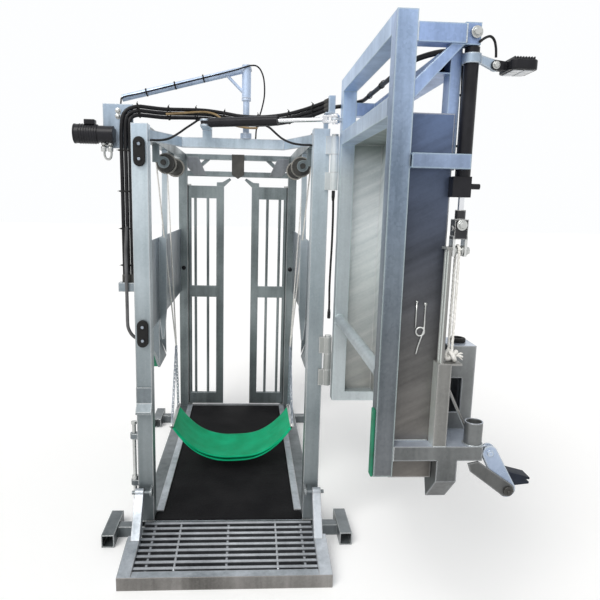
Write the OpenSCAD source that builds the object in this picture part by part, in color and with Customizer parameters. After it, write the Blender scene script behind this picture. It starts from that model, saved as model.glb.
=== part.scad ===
// Hoof trimming chute: a galvanised walk-through stall with a head gate, a belly
// strap, a loading ramp and a rear door that carries the leg-lift gear.
// Millimetres. X runs across the stall, +Y towards the head gate, +Z up.
// The origin is the middle of the rear cross tube's underside, on the ground.
// Everything is drawn as it rests: rear door open, ramp down, head gate closed.

/* [Stall] */
// Clear width between the posts
inner_w = 800; // [760:10:860]
// Side of the square rear posts
post = 80; // [70:5:90]
// Wall of the square tubes
tube_wall = 5; // [3:0.5:8]
// Height of the posts above the ground
post_top = 2163; // [2120:1:2240]
// Rear face of the head gate, from the middle of the rear posts
gate_y = 1790; // [1700:10:1900]
// Side of the front posts
front_post = 65; // [60:5:80]

/* [Base] */
// Side of the square cross tubes
cross_tube = 60; // [50:5:70]
// Height of the side rails
rail_h = 40; // [30:5:50]
// Thickness of the floor plate
floor_t = 8; // [5:1:10]
// Thickness of the rubber mat
mat_t = 10; // [8:1:14]
// Width of a foot
foot_w = 66; // [60:2:80]
// Length of a foot
foot_l = 258; // [220:2:300]
// Height of a foot
foot_h = 70; // [64:2:80]
// Distance from the centre line to the inside of a foot
foot_x = 596; // [580:2:620]

/* [Ramp] */
// Ramp's width beyond the clear width between the posts
ramp_over = 218; // [200:2:260]
// Reach of the ramp in front of the rear posts
ramp_reach = 445; // [400:5:500]
// Height of the ramp pivots
ramp_pivot_z = 285; // [270:5:310]
// Diameter of the ramp pivot pins
ramp_pin_d = 20; // [16:1:24]
// Number of grating bars
grating_bars = 9; // [7:1:11]

/* [Rear door] */
// Length of the door from its hinge axis
door_l = 1095; // [1050:5:1140]
// Side of the square door tubes
door_tube = 65; // [60:1:70]
// Top of the door
door_top = 2385; // [2350:5:2420]
// Bottom of the door frame
door_bottom = 810; // [790:5:840]
// Hinge axis, outwards from the face of the right post
hinge_out = 25; // [22:1:30]
// Diameter of the hinge barrels
hinge_d = 40; // [36:1:44]
// Diameter of the hinge pins
hinge_pin_d = 24; // [20:1:26]

/* [Head gate] */
// Gap between the two leaves, for the neck
neck_gap = 220; // [200:5:260]
// Diameter of the leaf hinge tubes
leaf_tube_d = 30; // [26:1:32]
// Diameter of the leaf hinge pins
leaf_pin_d = 16; // [12:1:18]
// Diameter of the upright bars
leaf_bar_d = 22; // [16:1:26]

/* [Belly strap] */
// Width of the strap along the stall
strap_w = 380; // [340:5:420]
// Thickness of the strap
strap_t = 8; // [6:1:10]
// Near edge of the strap
strap_y = 560; // [520:10:600]
// Height of the strap's ends
strap_end_z = 400; // [380:5:430]
// Lowest height of the strap
strap_low_z = 190; // [170:5:220]
// Radius of the rope drums
drum_r = 50; // [40:1:56]

/* [Hydraulics] */
// Diameter of the door cylinder's barrel
ram_d = 46; // [40:1:50]
// Diameter of the leg cylinder's barrel
leg_ram_d = 46; // [42:1:50]
// Diameter of the piston rods
ram_rod_d = 20; // [16:1:24]
// Outside diameter of the hoses
hose_d = 19; // [16:1:22]

/* [Hidden] */
$fn = 48;

// Running clearance on a radius, gap between flat faces and gap round soft pieces
run = 0.05;
gap = 1;
soft_gap = 0.5;
steel = "lightsteelblue";

// Stall
half_in = inner_w / 2;
half_out = half_in + post;
post_face = -post / 2;
rail_top = cross_tube + rail_h;
mat_top = rail_top + mat_t;
front_out = half_in + front_post;
gate_back = gate_y + front_post;
cross_ys = [0, gate_y / 2, gate_y - 100];
edge_w = 40;
edge_t = 8;
side_rail_h = 60;
side_rail_w = 50;
panel_t = 6;
panel_z = [1080, 1580];
panel_x = half_in + 50;
bolt_d = 12;

rest_y = [620, 920];
rest_w = 110;
rest_z = [770, 935];
rest_t = 12;
rest_plate_t = 10;
rest_x = panel_x + panel_t;
rest_mid = rest_x + rest_w / 2;
keeper_z = 715;
keeper_h = 135;
keeper_t = 8;
pin_x = -half_out - 22;
pin_y = -10;
pin_d = 20;
pin_l = 430;
pin_z = 222;
guide_zs = [300, 560];
guide_t = 30;
guide_w = 40;

// Roof
beam_y = 330;
beam_h = 52;
beam_d = 40;
beam_half = 275;
beam_top = post_top - 24;
header_rail = 40;
header_low = 1994;
block_half = 48;
block_d = 40;
block_z = header_low - 16;
block_tip = 32;

// Ramp
ramp_w = inner_w + ramp_over;
ramp_half = ramp_w / 2;
ramp_rail_w = 64;
ramp_front = post_face - ramp_reach;
ramp_back = post_face - 6;
ramp_front_h = 66;
ramp_arm_w = 44;
ramp_arm_x = ramp_half - ramp_rail_w;
ramp_pivot_y = post_face - 38;
ramp_bracket_t = 10;
grating_half = ramp_arm_x;
grating_front_z = 66;
grating_back_z = rail_top + 4;
grating_bar_h = 24;
grating_bar_w = 22;
grating_tie_w = 12;
ramp_nose = 50;
ramp_knee = post_face - 205;
ramp_heel = post_face - 150;
ramp_lug_d = 48;
ramp_eye_d = 44;
grating_run = ramp_back - (ramp_front + ramp_nose);

// Door, drawn open along -Y
hinge_x = half_out + hinge_out;
hinge_y = post_face - 5;
door_x = hinge_x + 20;
door_out = door_x + door_tube;
door_free = hinge_y - door_l;
door_near = hinge_y - 10;
stile_y = door_near - door_tube;
door_rail2 = 2141;
knuckle_h = 85;
butt_bar_d = 48;
butt_bar_z = 1235;
hinge_zs = [870, 1870];
stop_t = 20;
stop_h = 140;
stop_w = 56;
stop_zs = [1064, 1960];
stop_mid = -half_in - post / 2;
stop_bolt_zs = [35, 105];
bolt_sink = 4;

// The door's bent sheet and the leg gear on its outside
plate_t = 6;
skin_d = 151;
skin_z = [857, 2095];
arm_d = 55;
arm_top = 2350;
arm_h = 57;
arm_end = door_out + skin_d;
clevis_w = 50;
clevis_t = 10;
clevis_gap = 28;
leg_x = arm_end + 34;
leg_y = door_free + 40;
leg_pin_z = arm_top - 21;
leg_eye_l = 38;
leg_ram_l = 392;
leg_ram_top = leg_pin_z - leg_eye_l;
leg_ram_low = leg_ram_top - leg_ram_l;
leg_ram_wall = 6;
gland_h = 65;
gland_w = 60;
gland_d = 42;
leg_rod_out = 40;
leg_rod_end = leg_ram_low - gland_h - leg_rod_out;
leg_piston_h = 40;
mid_arm_z = 1920;
mid_arm_h = 46;
mid_arm_d = 36;
upright_x = arm_end - 25;
upright_w = 36;
upright_d = 60;
outer_rail_z = 2215;
outer_rail_h = 60;
brace_z = 2127;
brace_d = 40;
rod_sink = 30;
clevis_h = 94;
shackle_z = leg_rod_end - clevis_h;
shackle_h = 56;
shackle_w = 44;
shackle_pin_l = 50;
pulley_z = shackle_z - shackle_h + 18;
pulley_d = 34;
pulley_w = 30;
pulley_pin_d = 14;
skin_l = door_near - door_free - arm_d;
gear_x = arm_end - 16;
gear_w = 46;
gear_top = 1287;
gear_plate_w = gear_w + 36;
guide_d = 16;
guide_over = 5;
guide_h = pulley_z + guide_over - gear_top;
guide_ys = [door_free + 12, door_free + 36];
guide_cap_t = 8;
stay_d = 10;
stay_in = [48, 78];
stay_drop = 72;
rope_box_w = 72;
hook_d = 8;
hook_z = 1380;
arm2_z = 943;
arm2_h = 52;
arm2_top = arm2_z + arm2_h;
arm2_end = door_out + 312;
lever_x = arm2_end + 32;
lever_z = arm2_z + 22;
lever_pin_d = 20;
lever_t = 8;
boss_x = lever_x + 72;
boss_z = lever_z - 134;
boss_d = 56;
boss_l = 120;
lug2_t = 12;
lug2_d = 44;
lug2_y = door_free + 22;
boss_bore = 30;
socket_d = 62;
socket_bore = 54;
socket_h = 81;
socket_x = arm2_end - 27;
socket_y = door_free + socket_d / 2;
shelf_t = 5;
shelf_l = 280;
trough = [100, 140, 316];
trough_t = 5;
trough_at = [arm2_end - 87, door_free + 160, arm2_top];
trough_window = [55, 67, 196];
light_x = leg_x + 75;
light_z = 2240;
light_pin_d = 12;
light_lug_t = 10;

// Head gate
leaf_x = half_in - leaf_tube_d / 2 - 2;
leaf_y = gate_y + front_post / 2;
leaf_z = [120, 1921];
leaf_d = 30;
stile_w = 60;
leaf_bar_in = [145, 46];
leaf_rails = [[120, 95], [1030, 91], [1824, 97]];
leaf_lug_t = 10;

// Belly strap
strap_edge = 20;
strap_half = half_in - strap_edge;
strap_far = strap_y + strap_w;
strap_mid = strap_y + strap_w / 2;
strap_bar_d = 24;
join_z = 880;
shaft_d = 30;
shaft_x = half_in - 10;
shaft_z = 2010;
drum_ys = [strap_y - 40, strap_far + 40];
drum_w = 50;
shaft_y = [strap_y - 160, strap_far + 160];
rope_d = 10;
rope_x = shaft_x + drum_r + rope_d / 2 + soft_gap;
chain_lean = 10;
join_x = strap_half - chain_lean;
strap_steps = 16;
chain_d = 12;
chain_top = join_z - chain_d / 2 - 1.4;
chain_in = 20;
chain_bar_l = 36;
rope_part = 8;
hanger_d = 64;
hanger_t = 10;
hanger_w = 40;

// Leg-lift rope
pulley_flange = 5;
rope_r = pulley_d / 2 - pulley_flange + rope_d / 2 + soft_gap;
knot_d = 44;
knot_z = gear_top + knot_d / 2 + soft_gap;

// Door cylinder, pinned to the roof behind and to the door's lug in front
ram_z = 2196;
ram_y = 150;
ram_x = -140;
lug_x = hinge_x - 15;
lug_y = hinge_y - 85;
ram_len = norm([lug_x - ram_x, lug_y - ram_y]);
ram_angle = atan2(lug_y - ram_y, lug_x - ram_x);
ram_barrel = 400;
ram_pin_d = 20;
lug_t = 12;
lug_d = 40;
fork_l = 58;
fork_gap = lug_t + 4;
fork_t = 10;
bracket_w = 50;

// Motor and boom
motor_d = [90, 80];
motor_l = [105, 75];
motor_z = 2108;
motor_y = -10;
motor_end = half_out + 85;
boom_x = 68;
boom_y = beam_y;
boom_post_d = 34;
boom_post_h = 361;
boom_top = beam_top + boom_post_h;
boom_brace = 110;
boom_foot_d = 60;
boom_foot_h = 30;
boom_sleeve_d = 48;
boom_sleeve_h = 150;
boom_sleeve = boom_top - boom_sleeve_h;
boom_drop = 170;
boom_end = [boom_x - 658, boom_top - boom_drop];
boom_d = 36;
motor_foot = 45;

// Cord routes, chosen by hand
hose_count = 3;
hose_pitch = hose_d + 1;
cable_d = 8;
left_hose = [[-492, 0, 1390], [-492, 0, 1500], [-492, 0, 1700], [-492, 0, 1900], [-492, 0, 2080],
  [-492.5, 2, 2160], [-486, 8, 2190], [-458, 24, 2206], [-410, 54, 2208], [-340, 110, 2210],
  [-250, 190, 2222], [-150, 262, 2232], [-60, 285, 2226], [40, 285, 2212], [150, 262, 2208],
  [260, 205, 2214], [350, 130, 2228], [430, 40, 2246], [484, -28, 2262]];
hose_bend = 5;
hose_foot = left_hose[0][2];
hose_block_size = [80, 48, 45];
door_hose = [[528, -38, 2268], [560, -30, 2276], [600, -32, 2288], [628, -60, 2294], [634, -130, 2296],
  [634, -300, 2294], [634, -600, 2292], [638, -820, 2292], [660, -900, 2300], [716, -968, 2306],
  [762, -1008, 2296], [776, -1030, 2254], [778, -1042, 2100], [778, -1042, 1950], [778, -1042, 1900],
  [778, -1046, 1880], [777, -1056, 1868], [775, -1070, 1866], [775, -1085.7, 1866]];
light_cable = [[785, -1128.3, 2300], [800, -1129, 2312], [818, -1128, 2318], [834, -1122, 2308],
  [844, -1114, 2286], [848, -1109.5, 2262]];
boom_route = [[-594, 307.7, 2290], [-592, 307.7, 2312], [-580, 307.7, 2333], [-480, 307.7, 2358],
  [-300, 307.7, 2406], [-120, 307.7, 2454], [10, 301.7, 2488], [92, 301.7, 2513], [130, 304, 2506],
  [154, 312, 2470], [164, 320, 2420], [164, 326, 2360], [152, 328, 2300], [134, 329, 2240],
  [124, 330, 2190], [121, 330, 2140.5]];
// A square or rectangular tube along Z, Y or X, from its lowest corner
module tube_z(w, d, h, t = tube_wall) {
  difference() {
    cube([w, d, h]);
    translate([t, t, -1]) cube([w - 2 * t, d - 2 * t, h + 2]);
  }
}
module tube_y(w, l, h, t = tube_wall) {
  difference() {
    cube([w, l, h]);
    translate([t, -1, t]) cube([w - 2 * t, l + 2, h - 2 * t]);
  }
}
module tube_x(l, d, h, t = tube_wall) {
  difference() {
    cube([l, d, h]);
    translate([-1, t, t]) cube([l + 2, d - 2 * t, h - 2 * t]);
  }
}
// A cylinder along Y or X, from its start
module bar_y(d, l) {
  rotate([-90, 0, 0]) cylinder(d = d, h = l);
}
module bar_x(d, l) {
  rotate([0, 90, 0]) cylinder(d = d, h = l);
}
// A round bar between two points
module bar(a, b, d) {
  v = b - a;
  translate(a)
    rotate([0, acos(v[2] / norm(v)), atan2(v[1], v[0])])
      cylinder(d = d, h = norm(v));
}
// A flat outline in the X-Z plane, given a thickness along +Y
module plate_xz(y, t) {
  translate([0, y + t, 0]) rotate([90, 0, 0]) linear_extrude(t) children();
}
// A flat outline in the Y-Z plane, given a thickness along +X
module plate_yz(x, t) {
  translate([x, 0, 0]) rotate([90, 0, 90]) linear_extrude(t) children();
}
module both_sides() {
  children();
  mirror([1, 0, 0]) children();
}
// A tube swept along hand-placed points
function unit(v) = v / norm(v);
function heading(p, i) =
  unit((i < len(p) - 1 ? unit(p[i + 1] - p[i]) : [0, 0, 0]) + (i > 0 ? unit(p[i] - p[i - 1]) : [0, 0, 0]));
function across(t) = unit(cross(t, abs(t[1]) < 0.9 ? [0, 1, 0] : [1, 0, 0]));
module sweep(p, d, sides = 8) {
  n = len(p);
  ring = [for (i = [0:n - 1])
    let (t = heading(p, i), u = across(t), w = cross(t, u))
      for (k = [0:sides - 1]) p[i] + d / 2 * (cos(360 * k / sides) * u + sin(360 * k / sides) * w)];
  wall = [for (i = [0:n - 2]) for (k = [0:sides - 1])
    let (a = i * sides + k, b = i * sides + (k + 1) % sides)
      each [[a, b, b + sides], [a, b + sides, a + sides]]];
  last = (n - 1) * sides;
  ends = [for (k = [1:sides - 2]) each [[0, k + 1, k], [last, last + k, last + k + 1]]];
  polyhedron(points = ring, faces = concat(wall, ends));
}

// Base
module cross_tubes() color(steel) {
  for (y = [cross_ys[0], cross_ys[2]])
    translate([-foot_x, y - cross_tube / 2, 0]) tube_x(2 * foot_x, cross_tube, cross_tube);
  translate([-half_out, cross_ys[1] - cross_tube / 2, 0]) tube_x(2 * half_out, cross_tube, cross_tube);
}
module side_rails() color(steel) both_sides()
  translate([half_in, post_face, cross_tube]) tube_y(post, gate_back - post_face, rail_h);
module feet() color(steel) both_sides()
  for (y = [cross_ys[0], cross_ys[2]])
    translate([foot_x, y - foot_l / 2, 0]) tube_y(foot_w, foot_l, foot_h);
module floor_plate() color(steel)
  translate([-half_in, post_face, rail_top - floor_t]) cube([inner_w, gate_back - post_face, floor_t]);
module floor_mat() color("black")
  translate([-half_in + 2, post_face, rail_top]) cube([inner_w - 4, gate_y - post_face - 10, mat_t]);
module mat_edge_bars() color(steel) both_sides()
  translate([half_in - edge_w, post / 2 + gap, mat_top])
    cube([edge_w, gate_y - post / 2 - 2 * gap - 10, edge_t]);

// Stall posts, rails and roof
module rear_posts() color(steel) both_sides()
  translate([half_in, post_face, rail_top]) tube_z(post, post, post_top - rail_top);
module front_posts() color(steel) both_sides()
  translate([half_in, gate_y, rail_top]) tube_z(front_post, front_post, post_top - rail_top);
module side_top_rails() color(steel) both_sides()
  translate([half_in + 10, post / 2, post_top - side_rail_h])
    tube_y(side_rail_w, gate_y - post / 2, side_rail_h);
module roof_frame() color(steel) {
  translate([-beam_half, beam_y - beam_d / 2, beam_top - beam_h]) tube_x(2 * beam_half, beam_d, beam_h);
  both_sides() roof_diagonal();
  ram_bracket();
}
// A rail in plan from the inside of a rear post to the end of the roof beam
module roof_diagonal() translate([0, 0, beam_top - beam_h]) linear_extrude(beam_h)
  polygon([[half_in, 0], [half_in, post / 2], [beam_half, beam_y + beam_d / 2],
    [beam_half, beam_y - beam_d / 2]]);
// Two arms that reach back from the beam and hold the door cylinder's eye
module ram_bracket() {
  for (z = [ram_z - fork_gap / 2 - fork_t, ram_z + fork_gap / 2])
    translate([0, 0, z]) linear_extrude(fork_t) {
      translate([ram_x, ram_y]) circle(d = bracket_w);
      translate([ram_x - bracket_w / 2, ram_y]) square([bracket_w, beam_y + beam_d / 2 - ram_y]);
    }
  translate([ram_x, ram_y, ram_z - fork_gap / 2 - fork_t]) cylinder(d = ram_pin_d, h = fork_gap + 2 * fork_t);
  translate([ram_x - bracket_w / 2, beam_y - beam_d / 2, beam_top])
    cube([bracket_w, beam_d, ram_z + fork_gap / 2 + fork_t - beam_top]);
}
module header_truss() color(steel) {
  for (z = [post_top - header_rail, header_low])
    translate([-half_in, gate_y, z]) tube_x(inner_w, front_post, header_rail);
  both_sides() plate_xz(gate_y + 10, front_post - 20)
    polygon([[half_in - 40, header_low + header_rail], [half_in - 80, header_low + header_rail],
      [half_in - 180, post_top - header_rail], [half_in - 140, post_top - header_rail]]);
}
module header_block() color("dimgray") plate_xz(gate_y - block_d, block_d)
  polygon([[-block_half, post_top], [block_half, post_top], [block_half, block_z + block_tip],
    [0, block_z], [-block_half, block_z + block_tip]]);
module side_panels() color(steel) both_sides()
  translate([panel_x, post / 2, panel_z[0]])
    cube([panel_t, gate_y - post / 2, panel_z[1] - panel_z[0]]);

// Rests for the front hooves: an inverted angle on two hanger plates
module rest_hollow()
  polygon([[rest_x + rest_t, rest_z[0] - 1], [rest_mid, rest_z[1] - 20],
    [rest_x + rest_w - rest_t, rest_z[0] - 1]]);
module front_hoof_rests() color(steel) both_sides() {
  plate_xz(rest_y[0], rest_y[1] - rest_y[0]) difference() {
    polygon([[rest_x, rest_z[0]], [rest_mid, rest_z[1]], [rest_x + rest_w, rest_z[0]]]);
    rest_hollow();
  }
  for (y = [rest_y[0], rest_y[1] - rest_plate_t])
    plate_xz(y, rest_plate_t) difference() {
      polygon([[rest_x, panel_z[0] + 120], [rest_x, rest_z[0] + 20], [rest_mid, rest_z[1] - 10],
        [rest_mid, rest_z[1] + 40]]);
      rest_hollow();
    }
}
module hoof_rest_pads() color("seagreen") both_sides()
  plate_xz(rest_y[0] + rest_plate_t + 2, rest_y[1] - rest_y[0] - 2 * rest_plate_t - 4)
    offset(delta = -0.3) rest_hollow();

// Fittings of the left rear post
module stop_outline() {
  translate([-stop_w / 2, stop_w / 2]) square([stop_w, stop_h - stop_w]);
  for (z = [stop_w / 2, stop_h - stop_w / 2])
    translate([0, z]) circle(d = stop_w);
}
module door_stops() color("black")
  for (z = stop_zs)
    plate_xz(post_face - stop_t, stop_t) translate([stop_mid, z]) difference() {
      stop_outline();
      for (b = stop_bolt_zs)
        translate([0, b]) circle(d = bolt_d);
    }
module stop_bolts() color("silver")
  for (z = stop_zs, b = stop_bolt_zs)
    translate([stop_mid, post_face - stop_t + bolt_sink, z + b]) bar_y(bolt_d, stop_t - bolt_sink);
// A bent plate whose lip holds the door's latch bar
module latch_keeper()
  plate_yz(-half_out, post) translate([post_face, keeper_z])
    polygon([[0, 0], [0, keeper_h], [-keeper_t, keeper_h], [-keeper_t, 50], [-42, 12], [-42, 0],
      [-34, 0], [-34, 8], [-keeper_t, 36], [-keeper_t, 0]]);
module lock_pin_guides()
  for (z = guide_zs)
    translate([0, 0, z]) linear_extrude(guide_t) difference() {
      union() {
        translate([pin_x, pin_y]) circle(d = guide_w);
        translate([pin_x, pin_y - guide_w / 2]) square([-half_out - pin_x, guide_w]);
      }
      translate([pin_x, pin_y]) circle(d = pin_d + 2 * run);
    }
// The block that the hoses end in
module hose_block()
  translate([-half_out - hose_block_size[0], -hose_block_size[1] / 2, hose_foot - hose_block_size[2]])
    cube(hose_block_size);
module post_brackets() color(steel) {
  latch_keeper();
  lock_pin_guides();
  hose_block();
}
module lock_pin() color("silver") {
  translate([pin_x, pin_y, pin_z]) cylinder(d = pin_d, h = pin_l);
  translate([pin_x, pin_y, guide_zs[0] + guide_t + gap / 2]) cylinder(d = pin_d + 14, h = 20);
  translate([pin_x, pin_y, pin_z + pin_l - 12]) cylinder(d = pin_d + 10, h = 14);
}

// Ramp
module ramp_pivot_brackets() color(steel) both_sides() {
  plate_yz(half_in + 2, ramp_bracket_t)
    difference() {
      union() {
        translate([ramp_pivot_y, ramp_pivot_z]) circle(d = ramp_lug_d);
        translate([ramp_pivot_y, ramp_pivot_z - ramp_lug_d / 2])
          square([post_face - ramp_pivot_y, ramp_lug_d]);
      }
      translate([ramp_pivot_y, ramp_pivot_z]) circle(d = ramp_pin_d);
    }
  translate([half_in + 2, ramp_pivot_y, ramp_pivot_z])
    bar_x(ramp_pin_d, ramp_half - half_in - 4);
}
module ramp_frame() color(steel) {
  both_sides() {
    plate_yz(ramp_arm_x, ramp_rail_w)
      polygon([[ramp_front, 0], [ramp_front, ramp_front_h], [ramp_knee, rail_top + 4],
        [ramp_heel, rail_top + 4], [ramp_heel, 60], [ramp_knee, 44], [ramp_front + 60, 0]]);
    plate_yz(ramp_arm_x, ramp_arm_w) difference() {
      union() {
        translate([ramp_pivot_y, ramp_pivot_z]) circle(d = ramp_eye_d);
        polygon([[ramp_pivot_y - ramp_eye_d / 2, ramp_pivot_z], [ramp_pivot_y + ramp_eye_d / 2, ramp_pivot_z],
          [ramp_heel, 60], [ramp_heel - 50, rail_top]]);
      }
      translate([ramp_pivot_y, ramp_pivot_z]) circle(d = ramp_pin_d + 2 * run);
    }
  }
  translate([-ramp_arm_x, ramp_front, 0]) cube([2 * ramp_arm_x, ramp_nose, ramp_front_h]);
}
// Sloping bars across the ramp on three ties
module ramp_grating() color(steel) {
  for (i = [0:grating_bars - 1])
    let (s = (i + 0.5) / grating_bars)
      translate([-grating_half, ramp_front + ramp_nose + s * grating_run - grating_bar_w / 2,
        grating_front_z + s * (grating_back_z - grating_front_z) - grating_bar_h])
        cube([2 * grating_half, grating_bar_w, grating_bar_h]);
  for (x = [-1, 0, 1])
    plate_yz(x * (grating_half - 60) - grating_tie_w / 2, grating_tie_w)
      polygon([[ramp_front + ramp_nose, grating_front_z - 6], [ramp_back - 4, grating_back_z - 6],
        [ramp_back - 4, grating_back_z - 30], [ramp_front + ramp_nose, grating_front_z - 30]]);
}

// Door hinges
module knuckle(z, x_plate, bore) translate([0, 0, z]) linear_extrude(knuckle_h) difference() {
  union() {
    translate([hinge_x, hinge_y]) circle(d = hinge_d);
    translate([min(hinge_x, x_plate), hinge_y - 10]) square([abs(x_plate - hinge_x), 20]);
  }
  translate([hinge_x, hinge_y]) circle(d = bore);
}
module post_hinges() color("whitesmoke")
  for (z = hinge_zs)
    difference() {
      union() {
        for (k = [0, 2])
          translate([0, 0, k * (knuckle_h + gap)]) knuckle(z, half_out - 20, hinge_pin_d);
      }
      translate([half_in - 1, post_face, z - 1]) cube([post + 1, post, 4 * knuckle_h]);
    }
module hinge_pins() color("silver")
  for (z = hinge_zs)
    translate([hinge_x, hinge_y, z]) {
      cylinder(d = hinge_pin_d, h = 3 * knuckle_h + 2 * gap);
      translate([0, 0, 3 * knuckle_h + 2 * gap]) cylinder(d = hinge_d - 6, h = 10);
    }
module door_hinges() color("whitesmoke") difference() {
  union() {
    for (z = hinge_zs)
      knuckle(z + knuckle_h + gap, door_x + 20, hinge_pin_d + 2 * run);
    door_lug();
  }
  translate([door_x, stile_y, door_bottom]) cube([door_tube, door_tube, door_top - door_bottom]);
}
// The lug that the door cylinder pulls, on the inner face of the hinge stile
module door_lug() translate([0, 0, ram_z - lug_t / 2]) linear_extrude(lug_t) difference() {
  union() {
    translate([lug_x, lug_y]) circle(d = lug_d);
    polygon([[door_x, stile_y + 2], [door_x, door_near - 2], [lug_x - 6, lug_y + lug_d / 2],
      [lug_x, lug_y - lug_d / 2 + 1]]);
  }
  translate([lug_x, lug_y]) circle(d = ram_pin_d);
}

// Door frame and skins
module door_frame() color(steel) {
  translate([door_x, door_free, door_bottom + 76]) tube_z(door_tube, door_tube, door_top - door_bottom - 76);
  translate([door_x, stile_y, door_bottom]) tube_z(door_tube, door_tube, door_top - door_bottom);
  for (z = [door_top - 60, door_rail2 - 60])
    translate([door_x, door_free + door_tube, z]) tube_y(door_tube, stile_y - door_free - door_tube, 60);
  translate([door_out, stile_y, door_bottom]) tube_x(skin_d, door_tube, skin_z[0] - door_bottom);
  translate([door_x + butt_bar_d / 2, door_free + door_tube - 1, butt_bar_z])
    bar_y(butt_bar_d, stile_y - door_free - door_tube + 2);
}
// One bent sheet: both ends, the outer side and the top of the door's box
module door_skin() color(steel) difference() {
  translate([door_out, door_free + arm_d, skin_z[0]]) cube([skin_d, skin_l, skin_z[1] - skin_z[0]]);
  translate([door_out - 1, door_free + arm_d + plate_t, skin_z[0] - 1])
    cube([skin_d - plate_t + 1, skin_l - 2 * plate_t, skin_z[1] - skin_z[0] - plate_t + 1]);
  translate([upright_x, door_free + arm_d + plate_t, mid_arm_z])
    cube([upright_w, upright_d, skin_z[1] - mid_arm_z + 1]);
}
// Arms that carry the leg cylinder, their upright and the rail along the door's outside
module door_outer_frame() color(steel) {
  difference() {
    union() {
      translate([door_out, door_free, arm_top - arm_h]) tube_x(arm_end - door_out, arm_d + plate_t, arm_h);
      for (y = [-clevis_gap / 2 - clevis_t, clevis_gap / 2])
        translate([arm_end, leg_y + y, arm_top - arm_h]) cube([clevis_w, clevis_t, arm_h + 8]);
      translate([arm_end - 1, leg_y - clevis_gap / 2 - clevis_t, arm_top - arm_h])
        cube([5, clevis_gap + 2 * clevis_t, arm_h]);
    }
    translate([leg_x, leg_y - clevis_gap, leg_pin_z]) bar_y(lever_pin_d, 2 * clevis_gap);
  }
  translate([upright_x, door_free + arm_d + plate_t, mid_arm_z])
    tube_z(upright_w, upright_d, arm_top - mid_arm_z);
  plate_xz(door_free + 10, brace_d)
    polygon([[door_out, brace_z], [door_out, brace_z + 58], [arm_end - 41, arm_top - arm_h],
      [arm_end, arm_top - arm_h]]);
  translate([arm_end - door_tube, door_free + arm_d + plate_t, outer_rail_z])
    tube_y(door_tube, skin_l - plate_t, outer_rail_h);
  translate([door_out, stile_y, outer_rail_z]) tube_x(skin_d - door_tube, door_tube, outer_rail_h);
  translate([door_out, door_free - 20, mid_arm_z]) tube_x(leg_x + 2 - door_out, mid_arm_d, mid_arm_h);
}

// Leg-lift cylinder, its rod and the rope that it pulls
module leg_cylinder() color("black") difference() {
  union() {
    translate([leg_x, leg_y, leg_ram_low]) cylinder(d = leg_ram_d, h = leg_ram_l);
    translate([leg_x - gland_w + 20, leg_y + 14 - gland_d, leg_ram_low - gland_h])
      cube([gland_w, gland_d, gland_h]);
    translate([leg_x, leg_y - clevis_gap / 2 + gap, leg_pin_z]) bar_y(40, clevis_gap - 2 * gap);
    translate([leg_x - 12, leg_y - clevis_gap / 2 + gap, leg_ram_top - 1])
      cube([24, clevis_gap - 2 * gap, leg_eye_l]);
    translate([leg_x, leg_y - 6, leg_ram_low - 30]) bar_x(18, 54);
    translate([leg_x, leg_y - clevis_gap / 2 - clevis_t - 6, leg_pin_z])
      bar_y(lever_pin_d, clevis_gap + 2 * clevis_t + 12);
  }
  translate([leg_x, leg_y, leg_ram_low - gland_h - 1])
    cylinder(d = ram_rod_d + 2 * run, h = gland_h + 2);
  translate([leg_x, leg_y, leg_ram_low])
    cylinder(d = leg_ram_d - 2 * leg_ram_wall, h = leg_ram_l - 10);
}
module leg_rod() color("silver") {
  translate([leg_x, leg_y, leg_rod_end - rod_sink])
    cylinder(d = ram_rod_d, h = leg_rod_out + gland_h + leg_ram_l + rod_sink - 90);
  translate([leg_x, leg_y, leg_ram_top - 96])
    cylinder(d = leg_ram_d - 2 * leg_ram_wall - 2 * run, h = leg_piston_h);
}
module rope_shackle() color("silver") difference() {
  union() {
    translate([leg_x - shackle_w / 2, leg_y - shackle_w / 2, shackle_z])
      cube([shackle_w, shackle_w, clevis_h - rod_sink]);
    translate([leg_x, leg_y, leg_rod_end - rod_sink]) cylinder(d = 34, h = rod_sink);
    for (x = [leg_x - 24, leg_x + 16])
      translate([x, leg_y - 20, shackle_z - shackle_h]) cube([8, 40, shackle_h + 10]);
    translate([leg_x - shackle_pin_l / 2, leg_y, pulley_z]) bar_x(pulley_pin_d, shackle_pin_l);
    translate([leg_x - shackle_pin_l / 2, leg_y, shackle_z + 34]) bar_x(18, shackle_pin_l);
  }
  translate([leg_x, leg_y, leg_rod_end - rod_sink - 1]) cylinder(d = ram_rod_d, h = 40);
}
module shackle_pulley() color("gainsboro")
  translate([leg_x - pulley_w / 2, leg_y, pulley_z]) difference() {
    union() {
      bar_x(pulley_d - 2 * pulley_flange, pulley_w);
      bar_x(pulley_d, pulley_flange);
      translate([pulley_w - pulley_flange, 0, 0]) bar_x(pulley_d, pulley_flange);
    }
    translate([-1, 0, 0]) bar_x(pulley_pin_d + 2 * run, pulley_w + 2);
  }
// The rope runs over the pulley and is knotted on top of the gear post
module leg_rope() color("ivory") {
  for (y = [-rope_r, rope_r])
    translate([leg_x, leg_y + y, knot_z]) cylinder(d = rope_d, h = pulley_z - knot_z);
  translate([leg_x, leg_y, pulley_z]) rotate([90, 0, 90])
    rotate_extrude(angle = 180) translate([rope_r, 0]) circle(d = rope_d);
  translate([leg_x, leg_y, knot_z]) sphere(d = knot_d);
}
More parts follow.
